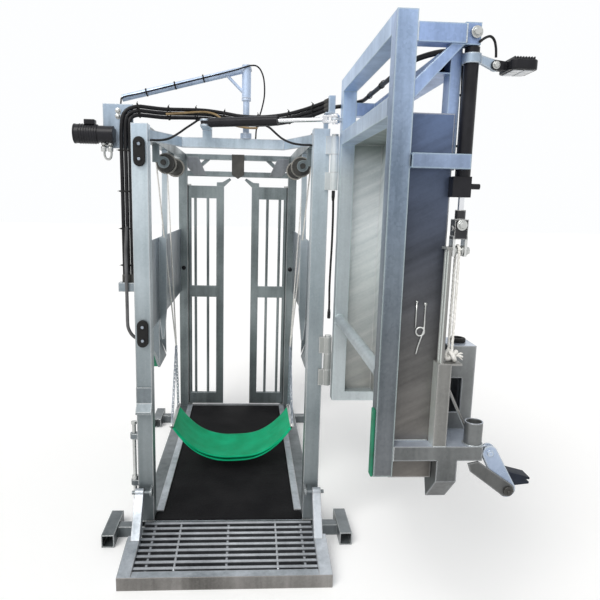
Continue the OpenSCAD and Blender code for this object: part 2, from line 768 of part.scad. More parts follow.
// A post on the bottom arm with two guide rods, a cap and a stay
module leg_gear_post() color(steel) {
  translate([gear_x, door_free, arm2_top]) tube_z(gear_w, arm_d, gear_top - plate_t - arm2_top);
  translate([gear_x, door_free, gear_top - plate_t]) cube([gear_plate_w, arm_d, plate_t]);
  for (y = guide_ys)
    translate([gear_x + 14, y, gear_top]) cylinder(d = guide_d, h = guide_h);
  translate([gear_x + 2, door_free + 2, gear_top + guide_h]) cube([20, arm_d - 2, guide_cap_t]);
  bar([gear_x + gear_w - 3, door_free + stay_in[0], gear_top - stay_drop],
    [socket_x + 5, door_free + stay_in[1], arm2_top + 4], stay_d);
}
// The lug that the hoof-rest lever swings on
module lever_lug() plate_xz(lug2_y, lug2_t) difference() {
  union() {
    translate([lever_x, lever_z]) circle(d = lug2_d);
    translate([arm2_end - 1, lever_z - lug2_d / 2]) square([lever_x - arm2_end + 1, lug2_d]);
  }
  translate([lever_x, lever_z]) circle(d = lever_pin_d + 2 * run);
}
module bottom_arm() color(steel) {
  difference() {
    union() {
      translate([door_out, door_free, arm2_z]) tube_x(arm2_end - door_out, arm_d, arm2_h);
      translate([arm2_end - tube_wall, door_free, arm2_z]) cube([tube_wall, arm_d, arm2_h]);
      translate([arm_end, door_free + arm_d, arm2_top - shelf_t])
        cube([arm2_end - arm_end + 12, shelf_l, shelf_t]);
      translate([socket_x, socket_y, arm2_z]) cylinder(d = socket_d, h = arm2_h + socket_h);
      lever_lug();
    }
    translate([socket_x, socket_y, arm2_z - 1]) cylinder(d = socket_bore, h = arm2_h + socket_h + 2);
  }
  plate_yz(arm_end + 2, plate_t) rope_box();
  plate_yz(arm_end + 2, rope_box_w) difference() {
    rope_box();
    offset(delta = -plate_t) rope_box();
  }
}
// Side view of the box that hangs under the arm
module rope_box()
  polygon([[door_free, arm2_z], [door_free, arm2_z - 77], [door_free + 98, arm2_z - 178],
    [door_free + 170, arm2_z]]);
module hoof_trough() color(steel) translate(trough_at) difference() {
  cube(trough);
  translate([-1, trough_t, trough_t])
    cube([trough[0] - trough_t + 1, trough[1] - 2 * trough_t, trough[2] - 2 * trough_t]);
  translate([-1, -1, trough_window[1]])
    cube([trough_window[0] + 1, trough[1] + 2, trough_window[2] - trough_window[1]]);
}
module trough_buffer() color("black")
  translate(trough_at + [trough[0] / 2, trough[1] / 2, trough[2]]) cylinder(d = 64, h = 16);
module hoof_rest_lever() color(steel) difference() {
  union() {
    for (y = [lug2_y - gap - lever_t, lug2_y + lug2_t + gap])
      plate_xz(y, lever_t) hull() {
        translate([lever_x, lever_z]) circle(d = 52, $fn = 32);
        translate([boss_x, boss_z]) circle(d = boss_d + 4, $fn = 32);
      }
    translate([boss_x, lug2_y - gap - lever_t, boss_z]) bar_y(boss_d, boss_l);
    translate([lever_x, lug2_y - gap - lever_t - 8, lever_z])
      bar_y(lever_pin_d, lug2_t + 2 * gap + 2 * lever_t + 16);
  }
  translate([boss_x, lug2_y - gap - lever_t - 1, boss_z]) bar_y(boss_bore, boss_l + 2);
}
module lever_rubber() color("black") plate_xz(lug2_y + 38, 60) difference() {
  polygon([[boss_x + 20, boss_z + 42], [boss_x + 104, boss_z + 20], [boss_x + 102, boss_z - 4],
    [boss_x + 20, boss_z - 14]]);
  translate([boss_x, boss_z]) circle(d = boss_d + 1);
}
// A clip pin that hangs on the end sheet
module leg_hook() color("silver") translate([door_out + 66, door_free + arm_d - hook_d - soft_gap, hook_z]) {
  for (x = [0, 26])
    translate([x, 0, 0]) cylinder(d = hook_d, h = 100);
  for (z = [0, 100])
    translate([-4, 0, z]) bar_x(hook_d, 34);
  translate([13, 0, -76]) cylinder(d = hook_d, h = 80);
  translate([13, 0, 100]) bar_y(hook_d + 2, hook_d + soft_gap);
}
// A clamp on the cylinder's barrel with a lug for the light
module light_bracket() color(steel) {
  translate([leg_x, leg_y, light_z + 2]) difference() {
    cylinder(d = leg_ram_d + 12, h = 30);
    translate([0, 0, -1]) cylinder(d = leg_ram_d + 2 * run, h = 32);
  }
  plate_xz(leg_y - light_lug_t / 2, light_lug_t) difference() {
    union() {
      polygon([[leg_x + leg_ram_d / 2 + 3, light_z + 30], [leg_x + leg_ram_d / 2 + 3, light_z + 4],
        [light_x - 10, light_z - 14], [light_x + 10, light_z + 14]]);
      translate([light_x, light_z]) circle(d = 34);
    }
    translate([light_x, light_z]) circle(d = light_pin_d + 2 * run);
  }
}
module work_light() color("dimgray") {
  for (y = [leg_y - light_lug_t / 2 - gap - 6, leg_y + light_lug_t / 2 + gap])
    plate_xz(y, 6) {
      translate([light_x, light_z]) circle(d = 30);
      translate([light_x, light_z - 15]) square([36, 30]);
    }
  translate([light_x, leg_y - light_lug_t / 2 - gap - 7, light_z])
    bar_y(light_pin_d, light_lug_t + 2 * gap + 14);
  translate([light_x + 30, leg_y - 60, light_z - 26]) cube([90, 120, 48]);
}

// Head gate
module gate_hinge_pins() color("silver") both_sides()
  for (z = [leaf_z[0] - leaf_lug_t - gap, leaf_z[1] + gap]) {
    translate([leaf_x, leaf_y - 15, z]) cube([half_in - leaf_x, 30, leaf_lug_t]);
    translate([leaf_x, leaf_y, z]) cylinder(d = leaf_tube_d, h = leaf_lug_t);
    translate([leaf_x, leaf_y, z < leaf_z[0] ? z : z - 60]) cylinder(d = leaf_pin_d, h = 60 + leaf_lug_t);
  }
module gate_leaf() {
  difference() {
    union() {
      translate([leaf_x, leaf_y, leaf_z[0]]) cylinder(d = leaf_tube_d, h = leaf_z[1] - leaf_z[0]);
      for (r = leaf_rails)
        translate([neck_gap / 2, leaf_y - leaf_d / 2, r[0]]) cube([leaf_x - neck_gap / 2, leaf_d, r[1]]);
    }
    translate([leaf_x, leaf_y, leaf_z[0] - 1])
      cylinder(d = leaf_pin_d + 2 * run, h = leaf_z[1] - leaf_z[0] + 2);
  }
  translate([neck_gap / 2, leaf_y - leaf_d / 2, leaf_z[0]]) cube([stile_w, leaf_d, leaf_z[1] - leaf_z[0]]);
  for (x = leaf_bar_in)
    translate([leaf_x - x, leaf_y, leaf_z[0] + 20]) cylinder(d = leaf_bar_d, h = leaf_z[1] - leaf_z[0] - 30);
}
module gate_leaf_right() color(steel) gate_leaf();
module gate_leaf_left() color(steel) mirror([1, 0, 0]) gate_leaf();

// Belly strap: a sagging band on two end bars
function sag(x) = strap_low_z + (strap_end_z - strap_low_z) * pow(abs(x) / strap_half, 2);
strap_line = [for (i = [0:strap_steps]) let (x = -strap_half + 2 * strap_half * i / strap_steps) [x, sag(x)]];
module strap_bar()
  translate([strap_half, strap_y - 10, strap_end_z + strap_t / 2]) bar_y(strap_bar_d, strap_w + 20);
module belly_strap() color("limegreen") {
  plate_xz(strap_y, strap_w)
    polygon(concat(strap_line, [for (i = [strap_steps:-1:0]) strap_line[i] + [0, strap_t]]));
  both_sides() strap_bar();
}
module strap_chains() color("slategray") both_sides() {
  translate([join_x, strap_mid - chain_bar_l / 2, chain_top]) bar_y(chain_d, chain_bar_l);
  for (y = [strap_y + chain_in, strap_far - chain_in])
    difference() {
      bar([strap_half, y, strap_end_z + strap_t / 2], [join_x, strap_mid, chain_top], chain_d);
      strap_bar();
    }
}
module strap_ropes() color("ivory") both_sides()
  for (y = drum_ys)
    bar([join_x, strap_mid + (y > strap_mid ? rope_part : -rope_part), join_z], [rope_x, y, shaft_z], rope_d);
module winch_hangers() color(steel) both_sides()
  for (y = [shaft_y[0] + 20, shaft_y[1] - 20 - hanger_t])
    plate_xz(y, hanger_t) difference() {
      union() {
        translate([shaft_x, shaft_z]) circle(d = hanger_d);
        translate([half_in + 12, shaft_z]) square([hanger_w, post_top - side_rail_h - shaft_z]);
        translate([shaft_x, shaft_z]) square([half_in + 12 + hanger_w - shaft_x, hanger_d / 2]);
      }
      translate([shaft_x, shaft_z]) circle(d = shaft_d + 2 * run);
    }
module winch_shaft() {
  translate([shaft_x, shaft_y[0], shaft_z]) bar_y(shaft_d, shaft_y[1] - shaft_y[0]);
  for (y = drum_ys)
    translate([shaft_x, y - drum_w / 2, shaft_z]) bar_y(2 * drum_r, drum_w);
}
module winch_shaft_right() color("seagreen") winch_shaft();
module winch_shaft_left() color("seagreen") mirror([1, 0, 0]) winch_shaft();

// Door cylinder
module along_ram() translate([ram_x, ram_y, ram_z]) rotate([0, 0, ram_angle]) children();
module door_cylinder() color("black") along_ram() difference() {
  union() {
    translate([30, 0, 0]) bar_x(ram_d, ram_barrel - 30);
    translate([0, 0, -fork_gap / 2 + gap]) cylinder(d = 44, h = fork_gap - 2 * gap);
    translate([0, -15, -fork_gap / 2 + gap]) cube([32, 30, fork_gap - 2 * gap]);
  }
  translate([50, 0, 0]) bar_x(ram_d - 12, ram_barrel - 90);
  translate([ram_barrel - 50, 0, 0]) bar_x(ram_rod_d + 2 * run, 60);
  translate([0, 0, -fork_gap]) cylinder(d = ram_pin_d + 2 * run, h = 2 * fork_gap);
}
module door_cylinder_rod() color("silver") along_ram() {
  translate([ram_barrel - 180, 0, 0]) bar_x(ram_rod_d, ram_len - fork_l + 6 - ram_barrel + 180);
  translate([ram_barrel - 200, 0, 0]) bar_x(ram_d - 12 - 2 * run, 30);
  // The fork that closes round the door's lug, open between its two cheeks
  difference() {
    translate([ram_len - fork_l, -18, -fork_gap / 2 - fork_t]) cube([fork_l + 16, 36, fork_gap + 2 * fork_t]);
    translate([ram_len - fork_l + 14, -40, -fork_gap / 2]) cube([2 * fork_l, 80, fork_gap]);
  }
  for (z = [-fork_gap / 2 - fork_t - 6, fork_gap / 2 + fork_t])
    translate([ram_len, 0, z]) cylinder(d = 26, h = 6);
}

// Motor on the left post
module motor() color("black") {
  translate([-motor_end, motor_y, motor_z]) rotate([0, -90, 0]) {
    cylinder(d = motor_d[1], h = motor_l[1]);
    translate([0, 0, motor_l[1]]) cylinder(d = motor_d[0], h = motor_l[0]);
  }
  translate([-motor_end - 60, motor_y, motor_z - 30]) cube([60, motor_foot, 60]);
}
module motor_bracket() color(steel) {
  translate([-motor_end - 60, motor_y + motor_foot, motor_z - 60]) cube([motor_end + 60 - half_out, 8, 210]);
}
// Cable boom: a post on the roof beam and an arm that swivels on it
module boom_post() color("lightgray") {
  translate([boom_x, boom_y, beam_top]) cylinder(d = boom_foot_d, h = boom_foot_h);
  translate([boom_x, boom_y, beam_top]) cylinder(d = boom_post_d, h = boom_post_h);
  translate([boom_x, boom_y, boom_sleeve - gap - 12]) cylinder(d = boom_sleeve_d + 2, h = 12);
}
module boom_arm() color("lightgray") difference() {
  union() {
    translate([boom_x, boom_y, boom_sleeve]) cylinder(d = boom_sleeve_d, h = boom_sleeve_h + 20);
    bar([boom_x + 24, boom_y, boom_top + 6], [boom_end[0], boom_y, boom_end[1]], boom_d);
    bar([boom_x, boom_y, boom_sleeve + 14], [boom_x - boom_brace, boom_y, boom_top - 30], 16);
  }
  translate([boom_x, boom_y, boom_sleeve - 1])
    cylinder(d = boom_post_d + 2 * run, h = boom_sleeve_h + 2);
}
module boom_cable() color("black") sweep(boom_route, cable_d);
// Hoses up the left post and over the roof, then on to the leg cylinder
// Side by side on the post, and stacked once they have turned over the roof
function hose_offset(k, i) =
  let (turn = 90 * max(0, min(1, (i + 1 - hose_bend) / 3)))
    k * hose_pitch * [-cos(turn), 0, sin(turn)];
module hoses() color("black")
  for (k = [0:hose_count - 1])
    sweep([for (i = [0:len(left_hose) - 1]) left_hose[i] + hose_offset(k, i)], hose_d);
module door_hoses() color("black") {
  sweep(door_hose, hose_d);
  sweep(light_cable, cable_d);
}

cross_tubes();
side_rails();
feet();
floor_plate();
floor_mat();
mat_edge_bars();
rear_posts();
front_posts();
side_top_rails();
roof_frame();
header_truss();
header_block();
side_panels();
front_hoof_rests();
hoof_rest_pads();
door_stops();
stop_bolts();
post_brackets();
lock_pin();
ramp_pivot_brackets();
ramp_frame();
ramp_grating();
post_hinges();
hinge_pins();
door_frame();
door_skin();
door_hinges();
door_outer_frame();
leg_cylinder();
leg_rod();
rope_shackle();
shackle_pulley();
leg_rope();
leg_gear_post();
bottom_arm();
hoof_trough();
trough_buffer();
hoof_rest_lever();
lever_rubber();
leg_hook();
light_bracket();
work_light();
gate_hinge_pins();
gate_leaf_left();
gate_leaf_right();
belly_strap();
strap_ropes();
strap_chains();
winch_hangers();
winch_shaft_left();
winch_shaft_right();
door_cylinder();
door_cylinder_rod();
motor();
motor_bracket();
boom_post();
boom_arm();
boom_cable();
hoses();
door_hoses();
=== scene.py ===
"""Looks of a hoof trimming chute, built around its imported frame. Metres, in the frame's own axes."""

from math import copysign, cos, pi, radians, sin

import bmesh
import bpy
from mathutils import Matrix, Quaternion, Vector


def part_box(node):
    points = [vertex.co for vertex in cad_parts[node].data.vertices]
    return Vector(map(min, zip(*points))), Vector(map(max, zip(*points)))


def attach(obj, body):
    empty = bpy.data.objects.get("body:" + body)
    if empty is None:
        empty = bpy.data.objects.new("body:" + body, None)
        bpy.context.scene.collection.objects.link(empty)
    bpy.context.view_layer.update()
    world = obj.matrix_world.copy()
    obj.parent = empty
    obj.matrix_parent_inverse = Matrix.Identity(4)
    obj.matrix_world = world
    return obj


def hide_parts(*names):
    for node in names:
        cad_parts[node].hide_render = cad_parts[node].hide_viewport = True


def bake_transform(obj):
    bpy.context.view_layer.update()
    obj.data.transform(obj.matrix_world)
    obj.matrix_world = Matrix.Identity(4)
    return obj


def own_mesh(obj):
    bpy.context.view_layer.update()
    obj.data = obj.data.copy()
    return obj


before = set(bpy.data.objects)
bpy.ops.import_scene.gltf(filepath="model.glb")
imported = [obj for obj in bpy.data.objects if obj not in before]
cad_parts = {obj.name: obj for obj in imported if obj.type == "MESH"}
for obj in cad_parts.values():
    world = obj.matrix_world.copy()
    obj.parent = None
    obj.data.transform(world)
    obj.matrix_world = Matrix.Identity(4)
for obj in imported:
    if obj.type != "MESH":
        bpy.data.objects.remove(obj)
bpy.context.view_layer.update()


# Node trees

# Height tones: painted shade near the ground and a painted sky reflection, bluish, at the top.
SHADE_HEIGHT_TOP = 2.4
SLANT = (0, 0.6155, 2.356)
OUTER = ((0.24, 0.28, 0.32), (0.36, 0.41, 0.47))
SKY_REFLECTION_TOP = (1.0, (0.98, 1.06, 1.2))
HEIGHT_SHADE_AND_SKY = [(0.04, (0.34, 0.33, 0.31)), (0.5, (0.55, 0.55, 0.53)), (0.8, (0.94, 0.95, 0.95)), SKY_REFLECTION_TOP]
ZINC_EDGE = 0.004
PAINT_EDGE = 0.002
BEVEL_SAMPLES = 4


def feed(socket, value):
    """Wires an output to a socket, or sets the socket to a value."""
    if isinstance(value, bpy.types.NodeSocket):
        socket.id_data.links.new(value, socket)
    else:
        socket.default_value = value


def adder(tree):
    """A function that adds a node to the tree, with its inputs and settings."""
    def add(kind, **values):
        node = tree.nodes.new("ShaderNode" + kind)
        for key, value in values.items():
            if key in node.inputs:
                feed(node.inputs[key], value)
            else:
                setattr(node, key, value)
        return node

    return add


def new_material(name):
    """A material, a function that adds nodes to it and one that feeds its shader's inputs."""
    material = bpy.data.materials.new(name)
    material.use_nodes = True
    shader = material.node_tree.nodes["Principled BSDF"]

    def put(**values):
        for key, value in values.items():
            feed(shader.inputs[key.replace("_", " ")], value)

    return material, adder(material.node_tree), put


def ramp_of(add, value, stops):
    """A colour ramp over value, with (position, grey or colour) stops."""
    node = add("ValToRGB", Fac=value)
    elements = node.color_ramp.elements
    while len(elements) < len(stops):
        elements.new(0.5)
    for element, (position, colour) in zip(elements, stops):
        element.position = position
        element.color = (colour,) * 3 + (1,) if isinstance(colour, float) else tuple(colour) + (1,)
    return node.outputs["Color"]


def stretched(add, scale, turn=(0, 0, 0)):
    """Object coordinates, turned back by the angles turn and then scaled along each axis."""
    where = add("TexCoord").outputs["Object"]
    return add("Mapping", vector_type="TEXTURE", Vector=where, Rotation=turn,
               Scale=[1 / s for s in scale]).outputs["Vector"]


def unscaled(add):
    return stretched(add, (1, 1, 1))


def noise(add, where, scale, detail, **more):
    return add("TexNoise", Vector=where, Scale=scale, Detail=detail, **more).outputs["Fac"]


def bumped(add, height, strength, distance, **more):
    return add("Bump", Height=height, Strength=strength, Distance=distance, **more).outputs["Normal"]


def combined(add, kind, operation, a, b):
    """The value of a maths node on two inputs; kind is Math or VectorMath."""
    node = add(kind, operation=operation)
    feed(node.inputs[0], a)
    feed(node.inputs[1], b)
    return node.outputs["Value"]


def over(add, value, limit):
    """1 where the value is above the limit."""
    return combined(add, "Math", "GREATER_THAN", value, limit)


def mixed(add, factor, a, b, mode="MIX"):
    """Two colours mixed by a factor."""
    node = add("Mix", data_type="RGBA", blend_type=mode)
    feed(node.inputs[0], factor)
    for socket, value in ((node.inputs[6], a), (node.inputs[7], b)):
        feed(socket, value if isinstance(value, bpy.types.NodeSocket) else (*value, 1))
    return node.outputs[2]


def round_edge(add, radius):
    return add("Bevel", Radius=radius, samples=BEVEL_SAMPLES).outputs["Normal"]


def painted_edge_highlight(add, put, colour, bright, edge):
    """Paints a highlight by brightening the colour where the surface turns at an edge, and returns that edge's
    rounded normal.
    """
    turn = combined(add, "VectorMath", "DOT_PRODUCT", round_edge(add, 2 * edge),
                    add("NewGeometry").outputs["Normal"])
    put(Base_Color=mixed(add, ramp_of(add, turn, [(0.9, 0.75), (0.995, 0.0)]), colour, bright))
    return round_edge(add, edge)


def galvanised(name, dark, light, rough=(0.28, 0.5), metallic=0.55, streak=0.4, shade_share=1.0, shade_and_sky=HEIGHT_SHADE_AND_SKY,
               facing=None, inside=None, inner_light_and_shade=None, outer_x=None, slanted=False):
    """Hot-dip zinc: smooth drifts, runs and crystal spangle, with a painted sky reflection bluish above and
    painted shade near the ground.

    One argument gives how much the height counts and another the tones up the height: painted shade near the
    ground and a painted sky reflection at the top. inside, where given, is (y, dark, light): another tone
    behind the plane y, for the inside of a box, a painted lit copy of the part in front, as far as the plane
    outer_x, with painted light and shade up its height from a further argument. facing is (direction, dark,
    light): a painted lit tone for faces that look that way. slanted runs rise towards the near right and stand
    partly for a painted sheen; others run straight down.
    """
    material, add, put = new_material(name)
    flat = unscaled(add)
    crystal = add("TexVoronoi", Vector=flat, Scale=110.0).outputs["Color"]
    grey = add("RGBToBW", Color=crystal).outputs["Val"]
    cloud = noise(add, flat, 2.4, 4.0, Roughness=0.5)
    # Runs of zinc; the slanted ones stand partly for a painted sheen.
    along = stretched(add, (2.2, 2.2, 28), SLANT) if slanted else stretched(add, (16, 16, 1.1))
    runs = noise(add, along, 1.0, 6.0, Roughness=0.6)
    blend = mixed(add, 0.05, mixed(add, streak, cloud, runs), grey)
    axes = add("SeparateXYZ", Vector=flat).outputs
    height = combined(add, "Math", "DIVIDE", axes["Z"], SHADE_HEIGHT_TOP)

    def tones(low, high):
        return ramp_of(add, blend, [(0.36, low), (0.64, high)])

    # Multiplies a tone by painted shade low down and a painted sky reflection at the top.
    def with_shade_and_sky(tone, share, stops):
        return mixed(add, share, tone, ramp_of(add, height, stops), "MULTIPLY")

    tone = with_shade_and_sky(tones(dark, light), shade_share, shade_and_sky)
    # Faces that look one way get a painted lit tone.
    if facing:
        turned = combined(add, "VectorMath", "DOT_PRODUCT", add("TexCoord").outputs["Normal"], facing[0])
        tone = mixed(add, over(add, turned, 0.5), tone, tones(*facing[1:]))
    # Lit and shaded copies: behind the plane the surface is painted in a lighter, lit tone.
    if inside:
        inner = tones(*inside[1:])
        if inner_light_and_shade:
            inner = with_shade_and_sky(inner, 1.0, inner_light_and_shade)
        if outer_x:
            inner = mixed(add, over(add, axes["X"], outer_x), inner, tones(*OUTER))
        tone = mixed(add, over(add, axes["Y"], inside[0]), tone, inner)
    # Edges brightened as a painted highlight.
    rounded = painted_edge_highlight(add, put, tone, [min(0.7, 1.25 * c) for c in light], ZINC_EDGE)
    put(Roughness=ramp_of(add, blend, [(0.32, rough[1]), (0.68, rough[0])]), Metallic=metallic,
        Normal=bumped(add, noise(add, flat, 150.0, 3.0), 0.1, 0.002, Normal=rounded))
    return material


def plain(name, dark, light, rough=(0.35, 0.55), metallic=0.0, bump=0.1, gloss=0.5):
    """Paint, plating or plastic with a little wear in its colour and gloss."""
    material, add, put = new_material(name)
    flat = unscaled(add)
    wear = noise(add, flat, 10.0, 6.0, Roughness=0.65)
    put(Base_Color=ramp_of(add, wear, [(0.32, dark), (0.68, light)]),
        Roughness=ramp_of(add, wear, [(0.3, rough[0]), (0.7, rough[1])]),
        Normal=bumped(add, noise(add, flat, 360.0, 2.0), bump, 0.001, Normal=round_edge(add, PAINT_EDGE)),
        Metallic=metallic, Specular_IOR_Level=gloss)
    return material


def rubber_mat(name):
    """Black stable rubber with a close hammered pattern."""
    material, add, put = new_material(name)
    flat = unscaled(add)
    dust = noise(add, flat, 7.0, 6.0)
    hammer = add("TexVoronoi", Vector=flat, Scale=85.0).outputs["Distance"]
    put(Base_Color=ramp_of(add, dust, [(0.35, (0.005, 0.005, 0.006)), (0.75, (0.012, 0.012, 0.013))]),
        Normal=bumped(add, hammer, 0.55, 0.003), Roughness=0.8, Specular_IOR_Level=0.12)
    return material


def webbing(name, dark, light, pitch):
    """Woven band: fine crossed ribs, satin, with a little colour drift."""
    material, add, put = new_material(name)
    flat = unscaled(add)
    warp, weft = (add("TexWave", Vector=flat, Scale=pitch, bands_direction=way, Distortion=0.6).outputs["Fac"]
                  for way in "YX")
    weave = combined(add, "Math", "MULTIPLY", warp, weft)
    shade = mixed(add, 0.3, noise(add, flat, 9.0, 4.0), weave)
    put(Base_Color=ramp_of(add, shade, [(0.25, dark), (0.7, light)]),
        Normal=bumped(add, weave, 0.3, 0.001), Roughness=0.6, Specular_IOR_Level=0.15)
    return material


def rope_fibre(name, dark, light):
    """Fibres along a rope that hangs."""
    material, add, put = new_material(name)
    fine = noise(add, stretched(add, (260, 260, 60)), 1.0, 3.0)
    put(Base_Color=ramp_of(add, fine, [(0.3, dark), (0.65, light)]),
        Normal=bumped(add, fine, 0.4, 0.001), Roughness=0.85)
    return material


def two_tone(name, split, lower, upper):
    """A forging plated below the height split and painted above it."""
    material, add, put = new_material(name)
    flat = unscaled(add)
    wear = noise(add, flat, 40.0, 6.0)
    painted = over(add, add("SeparateXYZ", Vector=flat).outputs["Z"], split)
    below, above = (ramp_of(add, wear, [(0.32, tones[0]), (0.68, tones[1])]) for tones in (lower, upper))
    # Edges brightened in the plated tone as a painted highlight.
    put(Normal=painted_edge_highlight(add, put, mixed(add, painted, below, above), lower[1], 0.003),
        Metallic=ramp_of(add, painted, [(0.0, 0.9), (1.0, 0.1)]), Roughness=0.36)
    return material


# Tones up the height, as multipliers: painted shade near the ground and a painted sky reflection at the top for
# the posts, the door and the arm; deep painted shade, bluish above, on the door sheet's near wall; painted
# sunlight on the sheet's inside, with painted shade under the roof and low down; the inside of the door frame
# darker low and bluish at the top.
POST_SHADE_AND_SKY = [(0.04, (0.26, 0.26, 0.25)), (0.22, (0.34, 0.345, 0.335)), (0.5, (0.53, 0.54, 0.535)),
                (0.8, (0.97, 0.98, 0.98)), SKY_REFLECTION_TOP]
SHEET_SHADE_AND_SKY = [(0.375, (0.19, 0.178, 0.165)), (0.54, (0.135, 0.133, 0.132)), (0.69, (0.066, 0.076, 0.102)),
         (0.81, (0.1, 0.135, 0.22)), (0.875, (0.12, 0.175, 0.31))]
SKIN_INSIDE_LIGHT_AND_SHADE = [(0.375, (0.42, 0.41, 0.39)), (0.47, (0.58, 0.58, 0.57)), (0.6, (0.84, 0.85, 0.84)),
               (0.7, (1.0, 1.0, 1.0)), (0.83, (1.0, 1.0, 1.0)), (0.87, (0.32, 0.36, 0.34))]
FRAME_INSIDE_SHADE_AND_SKY = [(0.375, (0.82, 0.82, 0.81)), (0.8, (1.0, 1.0, 1.0)), (0.92, (0.74, 0.87, 1.12))]
DOOR_SHADE_AND_SKY = [(0.375, (0.45, 0.39, 0.32)), (0.55, (0.47, 0.43, 0.37)), (0.68, (0.6, 0.59, 0.55)),
                (0.8, (0.84, 0.86, 0.88)), SKY_REFLECTION_TOP]
ARM_SHADE_AND_SKY = [(0.375, (0.5, 0.47, 0.44)), (0.82, (0.72, 0.73, 0.73)), (0.9, (0.95, 1.0, 1.08)), SKY_REFLECTION_TOP]
UP = (0, 0, 1)
LEFT = (-1, 0, 0)
NEAR = (0, -1, 0)
RAMP_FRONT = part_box("ramp_frame")[0].y + 0.002
FRAME_BACK = -1.06
SKIN_BACK = -1.083
SKIN_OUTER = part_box("door_skin")[1].x - 0.001
CLEVIS_SPLIT = 1.70
MATT = {"rough": (0.5, 0.7), "bump": 0.25, "gloss": 0.25}

# Most galvanised finishes get painted shade near the ground and a painted sky reflection at the top.
zinc = galvanised("zinc", (0.23, 0.28, 0.32), (0.54, 0.62, 0.7))
zinc_pale = galvanised("zinc_pale", (0.38, 0.45, 0.49), (0.72, 0.8, 0.86), shade_and_sky=POST_SHADE_AND_SKY)
# Painted shade: the ramp's front face dark, the rest behind it lighter.
zinc_ramp = galvanised("zinc_ramp", (0.1, 0.096, 0.09), (0.3, 0.29, 0.28), shade_share=0.0,
                       inside=(RAMP_FRONT, (0.26, 0.29, 0.32), (0.6, 0.64, 0.69)))
# Painted shade on the grating's sides and undersides, painted light on the tops of its bars.
zinc_grate = galvanised("zinc_grate", (0.025, 0.026, 0.03), (0.1, 0.105, 0.115), shade_share=0.0,
                        facing=(UP, (0.34, 0.36, 0.39), (0.66, 0.69, 0.73)))
zinc_grey = galvanised("zinc_grey", (0.16, 0.19, 0.22), (0.46, 0.52, 0.6))
# The door frame behind the near post is a painted lit copy, bluish at the top as a painted sky reflection; the
# frame's blue is partly a painted sky reflection.
zinc_door = galvanised("zinc_door", (0.16, 0.21, 0.28), (0.47, 0.57, 0.74), shade_and_sky=DOOR_SHADE_AND_SKY,
                       inside=(FRAME_BACK, (0.42, 0.47, 0.5), (0.68, 0.75, 0.78)), inner_light_and_shade=FRAME_INSIDE_SHADE_AND_SKY)
zinc_gate = galvanised("zinc_gate", (0.085, 0.104, 0.11), (0.3, 0.345, 0.355), shade_share=0.3)
# The arm's blue is partly a painted sky reflection.
zinc_arm = galvanised("zinc_arm", (0.16, 0.21, 0.31), (0.41, 0.52, 0.75), shade_and_sky=ARM_SHADE_AND_SKY)
# Painted light and shade on the door sheet: its near wall dark as painted shade, bluish above as a painted sky
# reflection; its inside pale as painted sunlight, with painted shade under the roof and low down; the slanted
# streaks partly a painted sheen.
zinc_sheet = galvanised("zinc_sheet", (0.58, 0.58, 0.58), (1.0, 1.0, 1.0), streak=0.6, shade_and_sky=SHEET_SHADE_AND_SKY,
                        inside=(SKIN_BACK, (0.63, 0.68, 0.69), (0.96, 0.98, 0.98)), inner_light_and_shade=SKIN_INSIDE_LIGHT_AND_SHADE,
                        outer_x=SKIN_OUTER, slanted=True)
# Painted sky light: faces that look up lighter and bluish.
zinc_foot = galvanised("zinc_foot", (0.14, 0.15, 0.16), (0.4, 0.42, 0.44),
                       facing=(UP, (0.36, 0.41, 0.5), (0.64, 0.7, 0.8)))
# Painted sunlight: faces that look left lighter.
zinc_gear = galvanised("zinc_gear", (0.15, 0.15, 0.148), (0.37, 0.37, 0.36), shade_share=0.6,
                       facing=(LEFT, (0.5, 0.55, 0.53), (0.8, 0.84, 0.8)))
zinc_low = galvanised("zinc_low", (0.1, 0.105, 0.11), (0.3, 0.31, 0.32))
zinc_rod = galvanised("zinc_rod", (0.3, 0.32, 0.35), (0.6, 0.63, 0.67), shade_share=0.0)
# The lever pipe's strong blue is a painted sky reflection.
zinc_blue = galvanised("zinc_blue", (0.22, 0.29, 0.42), (0.52, 0.62, 0.8), rough=(0.2, 0.35), shade_share=0.3)
zinc_boom = galvanised("zinc_boom", (0.36, 0.42, 0.5), (0.62, 0.69, 0.78), rough=(0.35, 0.55), metallic=0.45)
zinc_bright = galvanised("zinc_bright", (0.5, 0.54, 0.55), (0.78, 0.8, 0.8), rough=(0.4, 0.6), metallic=0.4)
zinc_plated = plain("zinc_plated", (0.42, 0.43, 0.42), (0.68, 0.69, 0.68), rough=(0.24, 0.42), metallic=0.85)
chrome = plain("chrome", (0.66, 0.67, 0.7), (0.8, 0.81, 0.83), rough=(0.06, 0.12), metallic=1.0, bump=0.02)
chain_steel = plain("chain_steel", (0.2, 0.24, 0.29), (0.46, 0.5, 0.56), metallic=0.8)
dark_steel = plain("dark_steel", (0.035, 0.035, 0.035), (0.09, 0.088, 0.08), rough=(0.4, 0.6), metallic=0.5)
black_paint = plain("black_paint", (0.006, 0.006, 0.008), (0.016, 0.016, 0.02), rough=(0.26, 0.42), gloss=0.25)
black_rubber = plain("black_rubber", (0.006, 0.006, 0.006), (0.016, 0.016, 0.016), **MATT)
blue_rubber = plain("blue_rubber", (0.006, 0.009, 0.016), (0.018, 0.024, 0.04), **MATT)
hose_rubber = plain("hose_rubber", (0.005, 0.005, 0.006), (0.014, 0.014, 0.016), rough=(0.36, 0.52), bump=0.15,
                    gloss=0.25)
conduit_grey = plain("conduit_grey", (0.05, 0.05, 0.052), (0.13, 0.13, 0.135), rough=(0.45, 0.6))
sleeve_tan = plain("sleeve_tan", (0.2, 0.13, 0.06), (0.42, 0.3, 0.15), rough=(0.6, 0.8), bump=0.3)
green_rubber = plain("green_rubber", (0.006, 0.12, 0.06), (0.012, 0.24, 0.13), rough=(0.5, 0.7), bump=0.2)
